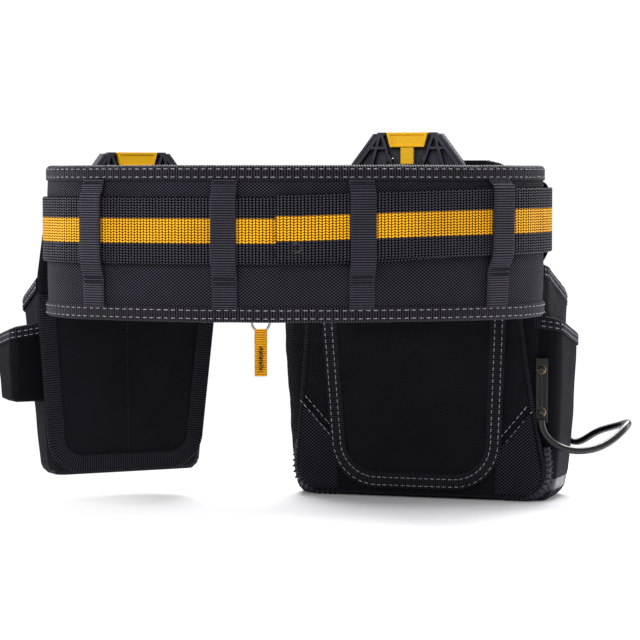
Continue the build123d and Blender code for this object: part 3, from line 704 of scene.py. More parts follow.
def build_web():
    width = WEB_HIGH - WEB_LOW
    section = [(x + width / 2, y) for x, y in tape_section(width, WEB_T, edge=0.9, steps=10)]
    gap_left = -(HALF_ROUND + BUCKLE_ARC - BUCKLE_HALF)
    gap_right = HALF_ROUND - BUCKLE_ARC - BUCKLE_HALF
    stations = climbing(ring_stations(gap_left, gap_right, WEB_LOW, WEB_OFFSET - 0.1, 3.0), inner_climb)
    inner = add_piece("web_belt_inner", *sweep(stations, section), "belt", BELT_WEB, "belt_webbing")
    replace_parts(inner, "web_belt")
    tail_s = BACK_R * atan2(TAIL_END_X, BACK_R)

    def droop(s):
        return web_sag(s) + 0.6 * max(0.0, 1 - abs(s - tail_s) / 30.0)

    stations = ring_stations(tail_s, gap_right, WEB_LOW + TAIL_RISE, TAIL_OFFSET - 0.15, 3.0, lift=droop)
    tilted = climbing(stations, tail_climb)
    tail = add_piece("web_belt_outer", *sweep(tilted, section), "belt", BELT_WEB, "belt_webbing")
    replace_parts(tail, "web_belt_tail")
    end = tilted[0]
    fringe = []
    for k in range(CUT_THREADS):
        z = CUT_MARGIN + k * (width - 2 * CUT_MARGIN) / (CUT_THREADS - 1)
        start = end[0] + end[2] * z + end[1] * (WEB_T * 0.5)
        sway = Vector((-1.0, 0, 0.25 * sin(k * 2.1)))
        fringe.append(tube([start, start + sway * (0.5 + 0.35 * (1 + sin(k * 1.3)))], 0.35, sides=6))
    add_piece("tail_cut_edge", *join_parts(fringe), "belt", BLACK_THREAD, "belt_webbing")
    build_eyelet()


def build_eyelet():
    """A rolled steel eyelet: an outer ring with a dished collar."""
    low, high = (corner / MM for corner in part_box("tail_eyelet"))
    centre = (low + high) / 2
    profile = [
        (2.7, 1.2), (2.75, -0.6), (3.1, -1.15), (3.7, -1.25), (4.2, -0.9), (4.3, -0.35), (4.0, 0.1),
        (3.4, 0.2), (2.9, 1.2),
    ]
    sides = 36
    verts, uvs = [], []
    for k in range(sides):
        turn = 2 * pi * k / sides
        for r, y in profile:
            verts.append((centre.x + r * cos(turn), low.y + 0.9 + y, centre.z + r * sin(turn)))
            uvs.append((r * turn, y))
    faces = grid_faces(sides, len(profile), wrap_rows=True, wrap_cols=True)
    eyelet = add_piece("eyelet_ring", verts, faces, uvs, "belt", BLACK_STEEL, "black_steel")
    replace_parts(eyelet, "tail_eyelet")


def loop_profile(s):
    """A loop strap's line from the bottom binding up over the web belt, as (out, z) points."""
    over = LOOP_OFFSET + (0.4 if s > 0 else -1.6)
    low, high = PAD_LOW + BINDING_H - 2.0, PAD_HIGH - BINDING_H + 1.0
    web_low = WEB_LOW + inner_climb(s)
    web_high = WEB_HIGH + (TAIL_RISE + tail_climb(s) if s > 0 else 0.5)
    return [
        (0.3, low), (1.3, low + 6), (1.5, web_low - 17), (2.4, web_low - 10), (over - 1.8, web_low - 3),
        (over - 0.3, web_low + 2), (over, web_low + 12), (over, web_high - 12), (over - 0.1, web_high - 3),
        (over - 1.0, web_high + 1.2), (3.2, web_high + 4.2), (0.8, high),
    ]


def loop_out(profile, z):
    """How far out a loop's line is at a height."""
    for (a, low), (b, high) in zip(profile, profile[1:]):
        if z <= high:
            return a + (b - a) * (z - low) / (high - low)
    return profile[-1][0]


def build_loops():
    straps, bars = [], []
    for s in LOOP_PLACES:
        base, normal, tangent = ring_place(s)
        lean = 0.02 if s > BACK_ARC - 20 else -0.004 * (s > 0)
        profile = loop_profile(s)
        line = curve_points([base + normal * out + Vector((0, 0, z)) + tangent * (lean * (z - 270))
                             for out, z in profile], 5)
        stations = []
        run = 0.0
        for k, p in enumerate(line):
            before, after = line[max(k - 1, 0)], line[min(k + 1, len(line) - 1)]
            along = (after - before).normalized()
            run += (p - line[k - 1]).length if k else 0.0
            out = along.cross(-tangent).normalized()
            out = out if out.dot(normal) > 0 or abs(out.dot(normal)) < 0.2 else -out
            stations.append((p, out, -tangent, run))
        straps.append(sweep(stations, tape_section(LOOP_W, 1.5, edge=0.7, steps=6)))
        web_low = WEB_LOW + inner_climb(s)
        for z in (PAD_HIGH - BINDING_H - 1.6, web_low - 11.0, web_low - 15.0):
            out = loop_out(profile, z) + 1.7
            bars.append(zigzag(base + normal * out, tangent, z, LOOP_W - 3.0))
    obj = add_piece("sewn_loops", *join_parts(straps), "belt", LOOP_TAPE, "webbing")
    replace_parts(obj, "belt_loops")
    add_piece("loop_bartacks", *join_parts(bars), "belt", BLACK_THREAD, "webbing")


def zigzag(centre, along, z, width):
    """A bar tack: one close zigzag of thread."""
    count, height, radius = 22, 1.7, 0.32
    points = []
    for k in range(count + 1):
        x = -width / 2 + width * k / count
        points.append(centre + along * x + Vector((0, 0, z + (height / 2 if k % 2 else -height / 2))))
    return tube(points, radius, sides=5)


# ---- buckle, ring and tab -----------------------------------------------------------------------------
def finish_cad(nodes, material, width=0.5, segments=2):
    """A CAD part that keeps its shape gets a softened edge and its material."""
    for name in nodes:
        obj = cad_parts[name]
        obj.data.materials.clear()
        obj.data.materials.append(material)
        for polygon in obj.data.polygons:
            polygon.use_smooth = True
        add_modifier(obj, "WELD", merge_threshold=0.002 * MM)
        if width:
            bevel(obj, width, segments)
        add_modifier(obj, "WEIGHTED_NORMAL", keep_sharp=True)


def build_ring_and_tab():
    low, high = (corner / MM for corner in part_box("hang_ring"))
    centre = (low + high) / 2
    angle = atan2(centre.x, centre.y + CENTRE_Y)
    place = Matrix.Translation(Vector((centre.x, centre.y, 0))) @ Matrix.Rotation(-angle, 4, "Z")
    radius = (high.z - low.z) / 2 - 1.0
    points = []
    for k in range(48):
        turn = 2 * pi * k / 48
        points.append(place @ Vector((radius * sin(turn), 0.0, centre.z + radius * cos(turn))))
    ring = add_piece("steel_ring", *tube(points, 1.0, 12, closed=True), "hang_ring", STEEL, "steel")
    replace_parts(ring, "hang_ring")
    build_tab(place, centre.z - radius)
    build_hanger(place, centre.z + radius)


def fold_line(top, bottom, spread, wire):
    """A strip folded over a wire at its top: down the back, over the wire, down the front, in (out, z)."""
    middle = (top + bottom) / 2
    front = [(wire, top - 2), (spread, top - 9), (spread * 0.45, middle), (spread * 0.4, bottom)]
    bend = [(-wire * cos(pi * k / 6), top + wire * sin(pi * k / 6)) for k in range(1, 6)]
    return [(-out, z) for out, z in reversed(front)] + bend + front


def strap_from_line(place, line, width, thick, steps=8):
    """A strap swept along a line of (out, z), its width along local x. The line's outside faces outwards."""
    points = curve_points([Vector((0, y, z)) for y, z in line], 5)
    stations, run = [], 0.0
    for k, p in enumerate(points):
        before, after = points[max(k - 1, 0)], points[min(k + 1, len(points) - 1)]
        along = (after - before).normalized()
        run += (p - points[k - 1]).length if k else 0.0
        out = Vector((1, 0, 0)).cross(along).normalized()
        turn = place.to_3x3()
        stations.append((place @ p, turn @ out, turn @ Vector((1, 0, 0)), run))
    return sweep(stations, tape_section(width, thick, edge=0.35, steps=steps))


def build_tab(place, wire_z):
    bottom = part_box("pull_tab")[0].z / MM
    line = fold_line(wire_z + 1.0, bottom, 1.9, 1.3)
    strap = strap_from_line(place, line, 10.6, -1.1)
    tab = add_piece("pull_tab_webbing", *strap, "pull_tab", YELLOW_TAPE, "yellow_webbing")
    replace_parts(tab, "pull_tab")
    rows = []
    across, along = place.to_3x3() @ Vector((1, 0, 0)), place.to_3x3() @ Vector((0, 0, 1))
    for side in (-1, 1):
        face = place @ Vector((0, side * 2.3, 0))
        for k in range(9):
            rows.append(zigzag_column(face + along * (wire_z - 13 - k * 2.3), across, along))
    add_piece("pull_tab_bartack", *join_parts(rows), "pull_tab", BLACK_THREAD, "yellow_webbing")


def zigzag_column(centre, across, along, width=3.4, pitch=2.3):
    points = []
    for k in range(5):
        shift = (0.5 if k % 2 else -0.5) * width
        points.append(centre + across * shift - along * (pitch * k / 4))
    return tube(points, 0.34, sides=5)


def build_hanger(place, wire_z):
    """A strap round the web belt, stitched below it, with a fold round the ring."""
    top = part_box("ring_hanger")[1].z / MM
    front = [(1.4, top - 0.6), (2.4, WEB_HIGH), (2.4, WEB_LOW - 2), (1.4, WEB_LOW - 10), (1.4, wire_z + 8)]
    line = [(-out, z) for out, z in reversed(front)] + [(0.0, top)] + front
    strap = strap_from_line(place, line, 18.0, -1.1)
    fold = [(y, 2 * wire_z - z) for y, z in fold_line(wire_z + 1.0, wire_z - 9.0, 1.3, 1.6)]
    parts = [strap, strap_from_line(place, fold, 6.4, 1.1)]
    hanger = add_piece("ring_hanger_strap", *join_parts(parts), "belt", LOOP_TAPE, "webbing")
    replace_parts(hanger, "ring_hanger")
    bars = []
    turn = place.to_3x3()
    for side in (-1, 1):
        for z in (WEB_LOW - 6.5, wire_z + 12):
            bars.append(zigzag(place @ Vector((0, side * 2.75, 0)), turn @ Vector((1, 0, 0)), z, 14.0))
    add_piece("ring_hanger_bartacks", *join_parts(bars), "belt", BLACK_THREAD, "webbing")


# ---- pouch building -----------------------------------------------------------------------------------
BOARD_BACK = 19.0


def broken_line(z, points):
    """The value at height z on straight runs between (z, value) points."""
    for (z0, a), (z1, b) in zip(points, points[1:]):
        if z <= z1:
            return a + (b - a) * (z - z0) / (z1 - z0)
    return points[-1][1]


def cut_corner(z, low, high, low_r, high_r):
    """How far an outline's sides are drawn in at height z, where its corners are rounded."""
    drawn = 0.0
    for edge, r in ((z - low, low_r), (high - z, high_r)):
        if edge < r:
            drawn += r - sqrt(max(0.0, r * r - (r - max(0.0, edge)) ** 2))
    return drawn


def sheet(sides, low, high, surface, low_r, high_r, step=4.0):
    """A grid over an outline. sides(z) gives its left and right x, surface(x, z, edge) its y."""
    rows = max(6, round((high - low) / step))
    left, right = sides((low + high) / 2)
    cols = max(8, round((right - left) / step))
    verts, uvs = [], []
    for i in range(rows + 1):
        share = 0.65 * i / rows + 0.35 * (0.5 - 0.5 * cos(pi * i / rows))
        z = low + (high - low) * share
        drawn = cut_corner(z, low, high, low_r, high_r)
        left, right = sides(z)
        for j in range(cols + 1):
            x = left + drawn + (right - left - 2 * drawn) * j / cols
            edge = min(x - left - drawn, right - drawn - x)
            verts.append(Vector((x, surface(x, z, edge), z)))
            uvs.append((x, z))
    return verts, grid_faces(rows + 1, cols + 1), uvs


def put(matrix, part):
    """Moves a part from a pouch's own frame into the model's."""
    verts, faces, uvs = part
    return [matrix @ Vector(v) for v in verts], faces, uvs


def add_local(name, matrix, part, body, material, slot, thick=0.0):
    obj = add_piece(name, *put(matrix, part), body, material, slot, closed=not thick)
    if thick:
        add_modifier(obj, "SOLIDIFY", thickness=thick * MM, offset=-1.0)
    return obj


def outline_path(sides, low, high, low_r, step=4.0, inset=0.0):
    """Down the left side of an outline, round its bottom corners and up its right side, in x and z."""
    base, r = low + inset, max(low_r - inset, 3.0)
    count = max(4, round((high - base - r) / step))
    heights = [high - (high - base - r) * k / count for k in range(count + 1)]
    left, right = sides(base + r)
    left_x, right_x = left + inset + r, right - inset - r
    turns = [pi / 2 * k / 10 for k in range(1, 11)]
    across = max(2, round((right_x - left_x) / step))
    points = [(sides(z)[0] + inset, z) for z in heights]
    points += [(left_x - r * cos(turn), base + r - r * sin(turn)) for turn in turns]
    points += [(left_x + (right_x - left_x) * k / across, base) for k in range(1, across)]
    points += [(right_x + r * cos(turn), base + r - r * sin(turn)) for turn in reversed(turns)]
    return points + [(sides(z)[1] - inset, z) for z in reversed(heights)]


def path_stations(path, y):
    """Stations along an (x, z) path on a panel, facing local -y."""
    points = [Vector((x, y(x, z) if callable(y) else y, z)) for x, z in path]
    return line_stations(points, Vector((0.0, -1.0, 0.0)), 2.5)


def move_stations(matrix, stations):
    turn = matrix.to_3x3()
    return [(matrix @ p, turn @ out, turn @ up, u) for p, out, up, u in stations]


def stitch_rows(stations, rows, off, pitch, radius):
    """Rows of stitches at distances across from the stations' middle line."""
    parts = []
    for across in rows:
        parts += stitch_row(stations, across=across, off=off, pitch=pitch, length=pitch * 0.68,
                            radius=radius)
    return parts


def tape_on(name, matrix, path, y, width, thick, body, rows=()):
    """A tape laid along a path, with rows of stitches at distances across from its middle line."""
    stations = move_stations(matrix, path_stations(path, y))
    tape = sweep(stations, tape_section(width, thick, edge=0.5, steps=8))
    obj = add_piece(name, *tape, body, TRIM_TAPE, "webbing")
    if rows:
        parts = stitch_rows(stations, rows, thick + 0.05, 5.2, 0.3)
        add_piece(name + "_stitches", *join_parts(parts), body, WHITE_THREAD, "webbing")
    return obj


def stitches_on(name, matrix, path, y, body, rows=(0.0,), material=None, pitch=5.2, radius=0.3):
    stations = move_stations(matrix, path_stations(path, y))
    parts = stitch_rows(stations, rows, 0.1, pitch, radius)
    return add_piece(name, *join_parts(parts), body, material or WHITE_THREAD, "pouch_fabric")


def bag_corner(level, share):
    """A point and outward direction on a rounded rectangle, share of the way round from its back left."""
    x0, x1, y0, y1, r = level
    sides = [
        (Vector((x0, y0 + r, 0)), Vector((x0, y1 - r, 0)), Vector((-1, 0, 0))),
        (Vector((x0 + r, y1 - r, 0)), pi, pi / 2),
        (Vector((x0 + r, y1, 0)), Vector((x1 - r, y1, 0)), Vector((0, 1, 0))),
        (Vector((x1 - r, y1 - r, 0)), pi / 2, 0.0),
        (Vector((x1, y1 - r, 0)), Vector((x1, y0 + r, 0)), Vector((1, 0, 0))),
        (Vector((x1 - r, y0 + r, 0)), 0.0, -pi / 2),
        (Vector((x1 - r, y0, 0)), Vector((x0 + r, y0, 0)), Vector((0, -1, 0))),
        (Vector((x0 + r, y0 + r, 0)), -pi / 2, -pi),
    ]
    weights = [0.17, 0.04, 0.26, 0.04, 0.17, 0.03, 0.26, 0.03]
    share %= 1.0
    for (a, b, c), weight in zip(sides, weights):
        if share <= weight + 1e-9:
            t = share / weight
            if isinstance(b, float):
                turn = b + (c - b) * t
                out = Vector((cos(turn), sin(turn), 0))
                return a + out * r, out
            return a.lerp(b, t), c
        share -= weight
    return sides[0][0], sides[0][2]


BAG_GIRTH = 520.0    # the weave is laid as if every bag measured this much round
BOARD_T, BAG_T, POCKET_T, SIDE_POCKET_T = 4.0, 2.4, 2.2, 2.0


def level_at(low, high, up):
    """A bag's rounded rectangle (x0, x1, y0, y1, r) at a share of the height between two levels."""
    return [a + (b - a) * up for a, b in zip(low[:5], high[:5])]


def bag(low, high, rim, bulge, rows, cols):
    """An open bag between two levels (x0, x1, y0, y1, r, z). rim(x, y) gives the mouth's height."""
    verts, uvs = [], []
    z0, z1 = low[5], high[5]
    for i in range(rows + 1):
        t = i / rows
        for j in range(cols):
            share = j / cols
            rough, _ = bag_corner(level_at(low, high, t), share)
            top = rim(rough.x, rough.y)
            z = z0 + (top - z0) * t
            up = (z - z0) / (z1 - z0)
            point, out = bag_corner(level_at(low, high, up), share)
            foot = 1.0 - min(1.0, t / 0.05)
            tuck = 5.0 * foot * foot
            point = point + out * (bulge(point, out, up) - tuck)
            verts.append(Vector((point.x, point.y, z)))
            uvs.append((share * BAG_GIRTH, z))
    faces = [tuple(reversed(face)) for face in grid_faces(rows + 1, cols, wrap_cols=True)]
    faces.append(tuple(range(cols)))
    return verts, faces, uvs


def rim_stations(low, high, rim, bulge, share0, share1, cols):
    """Stations along a bag's mouth, from share0 to share1 of the way round."""
    found, run, last = [], 0.0, None
    for j in range(cols + 1):
        share = share0 + (share1 - share0) * j / cols
        rough, _ = bag_corner(list(high[:5]), share)
        z = rim(rough.x, rough.y)
        up = (z - low[5]) / (high[5] - low[5])
        point, out = bag_corner(level_at(low, high, up), share)
        place = point + out * bulge(point, out, up)
        place = Vector((place.x, place.y, z))
        run += (place - last).length if last is not None else 0.0
        last = place
        found.append((place, out, Vector((0, 0, 1)), run))
    return found


def build_bag(name, node, place, body, shape, mesh, material, thick):
    """A bag in place of a CAD node. shape holds its levels, mouth and bulge, mesh its rows and columns."""
    bag_obj = add_local(name, place, bag(*shape, *mesh), body, material, "pouch_fabric", thick=thick)
    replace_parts(bag_obj, node)


def rim_tape(name, matrix, body, shape, width=9.5, share0=0.0, share1=0.75, cols=200):
    """A tape folded over a bag's mouth: outside, over the lip and down the inside, stitched outside."""
    t, wall = 0.9, 2.6
    section = [
        (-width, t), (-width * 0.6, t), (-width * 0.3, t), (-0.4, t), (0.8, t * 0.4), (1.2, -wall / 2),
        (0.8, -wall - t * 0.4), (-0.4, -wall - t), (-width * 0.5, -wall - t), (-width, -wall - t),
    ]
    placed = move_stations(matrix, rim_stations(*shape, share0, share1, cols))
    obj = add_piece(name, *sweep(placed, section, closed=False), body, TRIM_TAPE, "webbing", closed=False)
    add_modifier(obj, "SOLIDIFY", thickness=t * MM, offset=0.0)
    parts = []
    for across in (-2.4, -6.6):
        parts += stitch_row(placed, across=across, off=t + 0.5, pitch=5.2, length=3.5, radius=0.3)
    add_piece(name + "_stitches", *join_parts(parts), body, WHITE_THREAD, "webbing")
    return obj


# ---- the larger pouch ---------------------------------------------------------------------------------
RIGHT_LEFT_EDGE = ((4, -102.0), (150, -91.0), (287, -62.0))
RIGHT_RIGHT_EDGE = ((4, 120.0), (78, 106.5), (157, 94.5), (287, 90.0))
U_LEFT_EDGE = ((8, -66.5), (150, -77.5), (193, -77.5))
U_RIGHT_EDGE = ((8, 79.0), (150, 84.0), (193, 84.0))
RIGHT_LOW_LEVEL = (-104.0, 118.5, 23.4, 91.5, 13.0, 0.4)
RIGHT_HIGH_LEVEL = (-118.0, 115.0, 23.4, 117.5, 13.0, 206.0)
U_TRIM_W = 13.4
RIGHT_FOOT, RIGHT_TOP = 4.0, 286.5
RIGHT_CORNERS = (24.0, 22.0)    # radii of the back board's lower and upper corners


def right_sides(z):
    return broken_line(z, RIGHT_LEFT_EDGE), broken_line(z, RIGHT_RIGHT_EDGE)


def u_sides(z):
    return broken_line(z, U_LEFT_EDGE), broken_line(z, U_RIGHT_EDGE)


def right_rim(x, y):
    return 200.0 - 32.0 * (y - 23.3) / 95.0


def right_bulge(point, out, up):
    """The bag's walls belly out between its corners and crease a little."""
    if out.y < -0.5:
        return 0.0
    middle = max(0.0, 1 - (2 * up - 0.9) ** 2)
    reach = 4.0 * middle * max(0.0, 1 - (point.x / 112.0) ** 2) if out.y > 0.5 else 3.2 * middle
    if out.x > 0.5:
        reach += 3.5 * max(0.0, 1 - abs(up * 206 - 24) / 22.0)
    creases = 1.5 * wobble((point.x, point.y, up * 200), 42.0, 3.0)
    creases += 0.8 * wobble((point.x, point.y * 2, up * 420), 22.0, 9.0)
    return reach + creases


def right_back(x, z, edge):
    """The back panel's wearer side: flat over the board, turning in at the seams."""
    return BOARD_BACK - 0.6 + 2.4 * max(0.0, 1 - edge / 5.0) ** 2 + 0.45 * wobble((x, z, 0), 38.0, 7.0)


def u_pad(x, z, edge):
    """The raised pad's face, drawn in by its trim and crowned in the middle."""
    crown = min(1.0, max(0.0, min(edge, z - 15.0) / 26.0)) ** 0.7
    creases = 0.5 * wobble((x, z, 4), 44.0, 11.0) + 0.3 * wobble((x * 0.7, z * 2, 4), 20.0, 12.0)
    return 17.0 - 1.5 * crown + creases * crown


def build_right_back():
    body = "right_pouch"
    back = sheet(right_sides, RIGHT_FOOT, RIGHT_TOP, right_back, *RIGHT_CORNERS)
    panel = add_local("right_back_cover", RIGHT, back, body, POUCH_CLOTH, "board", thick=BOARD_T)
    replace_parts(panel, "right_back_board")

    def pad_sides(z):
        left, right = u_sides(z)
        return left + 9.0, right - 9.0

    pad = sheet(pad_sides, 15.0, 192.0, u_pad, 30.0, 0.1, step=3.5)
    cushion = add_local("right_back_cushion", RIGHT, pad, body, SMOOTH_CLOTH, "smooth_fabric", thick=1.5)
    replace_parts(cushion, "right_back_pad")
    path = outline_path(u_sides, 8.0, 192.5, 41.0, inset=U_TRIM_W / 2)
    trim = tape_on("right_pad_trim", RIGHT, path, 17.3, U_TRIM_W, 2.2, body, rows=(-4.1, 2.3))
    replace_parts(trim, "right_back_trim")
    edge = outline_path(right_sides, 4.0, 270.0, 24.0, inset=0.2)
    piping = tube(curve_points([(x, 20.6, z) for x, z in edge[::2]], 3), 2.2, 10)
    add_local("right_piping", RIGHT, piping, body, TRIM_TAPE, "webbing")


def corner_patch(side, outer_z, inner_z):
    """A coarse patch over a lower corner of the back panel, below a slanting line."""
    rows, cols, foot = 16, 14, 5.5
    column = 0 if side < 0 else 1
    verts, uvs = [], []
    for i in range(rows + 1):
        for j in range(cols + 1):
            share = j / cols
            z = foot + (outer_z + (inner_z - outer_z) * share - foot) * i / rows
            drawn = 1.8 + cut_corner(z, RIGHT_FOOT, RIGHT_TOP, *RIGHT_CORNERS)
            outer = right_sides(z)[column] - side * drawn
            inner = u_sides(z)[column] - side * 4.0
            x = outer + (inner - outer) * share
            y = BOARD_BACK - 1.7 - 0.25 * wobble((x, z, side), 22.0)
            verts.append(Vector((x, y, z)))
            uvs.append((x, z))
    return verts, grid_faces(rows + 1, cols + 1), uvs


def build_corner_patches():
    body = "right_pouch"
    corners = (
        (-1, "left", (-99.5, 81.0), (-71.0, 50.0)),
        (1, "right", (108.5, 76.0), (80.0, 42.0)),
    )
    for side, name, outer, inner in corners:
        patch = corner_patch(side, outer[1], inner[1])
        add_local(f"right_corner_patch_{name}", RIGHT, patch, body, PATCH_CLOTH, "pouch_fabric", thick=0.9)
        line = [outer, inner] if side > 0 else [inner, outer]
        rows = (-1.8, -7.8)
        stitches_on(f"right_corner_stitches_{name}", RIGHT, line, BOARD_BACK - 2.0, body, rows=rows)


def lacing(edge):
    """Cord wound round and round an edge."""
    dense = resample(edge, 4.6)
    parts = []
    for before, place, after in zip(dense, dense[1:], dense[2:]):
        along = (after - before).normalized()
        side = along.cross(Vector((0, 1, 0))).normalized()
        front = along.cross(side).normalized()
        coil = []
        for k in range(17):
            turn = 2 * pi * k / 16
            coil.append(place + (side * cos(turn) + front * sin(turn)) * 4.1 + along * (k / 16 - 0.5) * 3.0)
        parts.append(tube(coil, 0.85, 6))
    return parts


def build_lacing():
    """The coated edging and its lacing on the pouch's two bottom corners."""
    body = "right_pouch"
    cords, edging = [], []
    for side, x in ((-1, 101.0), (1, 118.0)):
        points = [(x - 1, 25, 46), (x + 0.5, 24, 24), (x - 4, 23, 11), (x - 15, 23, 5.0), (x - 38, 23, 4.6)]
        edge = curve_points([(side * a, b, c) for a, b, c in points], 8)
        edging.append(tube(edge, 3.4, 12))
        cords += lacing(edge)
    add_local("right_corner_edging", RIGHT, join_parts(edging), body, HIDE, "webbing")
    add_local("right_corner_lacing", RIGHT, join_parts(cords), body, BLACK_THREAD, "webbing")


def bag_patch(low, high, bulge, share0, share1, z0, z1, out_by):
    """A patch of cloth lying on a bag's wall."""
    rows, cols = 14, 20
    verts, uvs = [], []
    for i in range(rows + 1):
        z = z0 + (z1 - z0) * i / rows
        up = (z - low[5]) / (high[5] - low[5])
        level = level_at(low, high, up)
        for j in range(cols + 1):
            share = share0 + (share1 - share0) * j / cols
            point, out = bag_corner(level, share)
            place = point + out * (bulge(point, out, up) + out_by)
            verts.append(Vector((place.x, place.y, z)))
            uvs.append((share * BAG_GIRTH, z))
    faces = [tuple(reversed(face)) for face in grid_faces(rows + 1, cols + 1)]
    return verts, faces, uvs


def build_right_pouch():
    body = "right_pouch"
    build_right_back()
    build_corner_patches()
    build_lacing()
    shape = (RIGHT_LOW_LEVEL, RIGHT_HIGH_LEVEL, right_rim, right_bulge)
    build_bag("right_bag", "right_pouch_shell", RIGHT, body, shape, (44, 130), POUCH_CLOTH, BAG_T)
    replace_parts(rim_tape("right_bag_binding", RIGHT, body, shape), "right_rim_binding")
    patch = bag_patch(RIGHT_LOW_LEVEL, RIGHT_HIGH_LEVEL, right_bulge, 0.52, 0.695, 9.0, 42.0, 0.9)
    add_local("right_gusset_guard", RIGHT, patch, body, HIDE, "pouch_fabric", thick=0.9)
    divider = sheet(lambda z: (-99.0, 111.0), 9.0, 150.0, divider_face, 8.0, 4.0, step=8.0)
    obj = add_local("right_inner_divider", RIGHT, divider, body, SMOOTH_CLOTH, "pouch_fabric", thick=2.0)
    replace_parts(obj, "right_divider")
    build_right_pockets()
    build_hammer_loop()


def divider_face(x, z, edge):
    return 66.2 + 1.2 * wobble((x, z, 0), 60.0) * min(1.0, edge / 20.0)


FRONT_LOW = (-80.0, 86.0, 74.0, 121.0, 9.0, 8.0)
FRONT_HIGH = (-86.0, 92.0, 88.0, 148.5, 9.0, 140.0)


def front_rim(x, y):
    return 136.0 - 18.0 * (y - 100.0) / 50.0 - 3.0 * (1 - min(1.0, abs(x) / 88.0) ** 2)


def pocket_bulge(point, out, up):
    belly = max(0.0, 1 - (2 * up - 0.8) ** 2) * (1 - min(1.0, abs(point.x) / 90.0) ** 2)
    soft = 0.8 * wobble((point.x, point.y, up * 130), 30.0, 8.0)
    return 2.2 * belly - 1.0 + soft if out.y > 0.5 else -0.6


def build_right_pockets():
    body = "right_pouch"
    front = (FRONT_LOW, FRONT_HIGH, front_rim, pocket_bulge)
    build_bag("right_lower_pocket", "right_front_pocket", RIGHT, body, front, (30, 110), POUCH_CLOTH,
              POCKET_T)
    rim_tape("right_lower_pocket_binding", RIGHT, body, front, share1=0.68)
    side = (SIDE_LOW, SIDE_HIGH, side_rim, side_bulge)
    build_bag("right_outer_side_pocket", "right_side_pocket", RIGHT, body, side, (30, 80), SIDE_TWILL_PAINTED_SHADE,
              SIDE_POCKET_T)
    rim_tape("right_side_pocket_binding", RIGHT, body, side, width=9.0, share0=0.30, share1=0.93, cols=120)


SIDE_LOW = (100.0, 125.0, 26.0, 85.0, 8.0, 14.5)
SIDE_HIGH = (95.0, 130.0, 25.0, 103.0, 10.0, 156.0)


def side_rim(x, y):
    return 153.5 - 15.5 * (y - 34.0) / 70.0 - 0.12 * max(0.0, x - 106.0)


def side_bulge(point, out, up):
    belly = max(0.0, 1 - (2 * up - 0.9) ** 2)
    soft = 0.7 * wobble((point.x, point.y, up * 150), 26.0, 6.0)
    return 1.6 * belly - 0.9 + soft if out.x > -0.5 else 0.0


def build_hammer_loop():
    """The rod and its straps keep their CAD shape; each rivet gets a dome over a brass washer."""
    finish_cad(["hammer_loop"], BLACK_STEEL, width=0.0)
    finish_cad(["hammer_straps"], STRAP_STEEL, width=0.35)
    heads, washers = [], []
    for (x, y), lean, outward in (((114.0, 21.5), 0.0, -1), ((99.0, 105.5), -radians(7.19), 1)):
        place = Matrix.Translation((x, y, 94.0)) @ Matrix.Rotation(lean, 4, "X")
        for z in (-18.0, 18.0):
            for found, reach, radius, height in ((heads, 1.5, 3.6, 2.3), (washers, 1.15, 4.1, 0.8)):
                verts, faces, uvs = dome(Vector((0, outward * reach, z)), outward, radius, height)
                found.append(([place @ v for v in verts], faces, uvs))
    body, slot = "right_pouch", "black_steel"
    domes = add_local("hammer_rivet_domes", RIGHT, join_parts(heads), body, BLACK_STEEL, slot)
    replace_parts(domes, "hammer_rivets")
    add_local("hammer_rivet_washers", RIGHT, join_parts(washers), body, BRASS, slot)


def dome(centre, outward, radius, height):
    """A domed rivet head facing along local y."""
    verts, uvs = [], []
    rings, sides = 7, 20
    for i in range(rings):
        turn = pi / 2 * i / (rings - 1)
        r = max(0.05, radius * cos(turn))
        for j in range(sides):
            a = 2 * pi * j / sides
            verts.append(centre + Vector((r * cos(a), outward * height * sin(turn), r * sin(a))))
            uvs.append((r * a, height * turn))
    faces = grid_faces(rings, sides, wrap_cols=True)
    faces.append(tuple(range(sides)))
    faces.append(tuple(range((rings - 1) * sides, rings * sides)))
    return verts, faces, uvs


# ---- the smaller pouch --------------------------------------------------------------------------------
LEFT_LEFT_EDGE = ((27, -75.0), (150, -84.0), (190, -85.0), (268, -74.0))
LEFT_RIGHT_EDGE = ((27, 60.0), (150, 74.0), (268, 67.0))
LEFT_LOW_LEVEL = (-69.5, 66.0, 23.4, 65.0, 13.0, 23.6)
LEFT_HIGH_LEVEL = (-80.0, 84.0, 23.4, 83.0, 13.0, 200.0)


def left_sides(z):
    return broken_line(z, LEFT_LEFT_EDGE), broken_line(z, LEFT_RIGHT_EDGE)


def left_rim(x, y):
    return 194.0 - 29.0 * (y - 23.3) / 61.0


def left_bulge(point, out, up):
    middle = max(0.0, 1 - (2 * up - 0.9) ** 2)
    width = 1 - min(1.0, abs(point.x) / 78.0) ** 2
    reach = 3.4 * middle * max(0.0, width) if out.y > 0.5 else 1.5 * middle
    soft = wobble((point.x, point.y, up * 180), 36.0, 13.0) * 1.2
    return reach - 0.8 + soft if out.y > -0.3 else 0.0


def left_back(x, z, edge):
    return BOARD_BACK - 0.4 + 1.8 * max(0.0, 1 - edge / 5.0) ** 2 + 0.6 * wobble((x, z, 0), 42.0, 17.0)


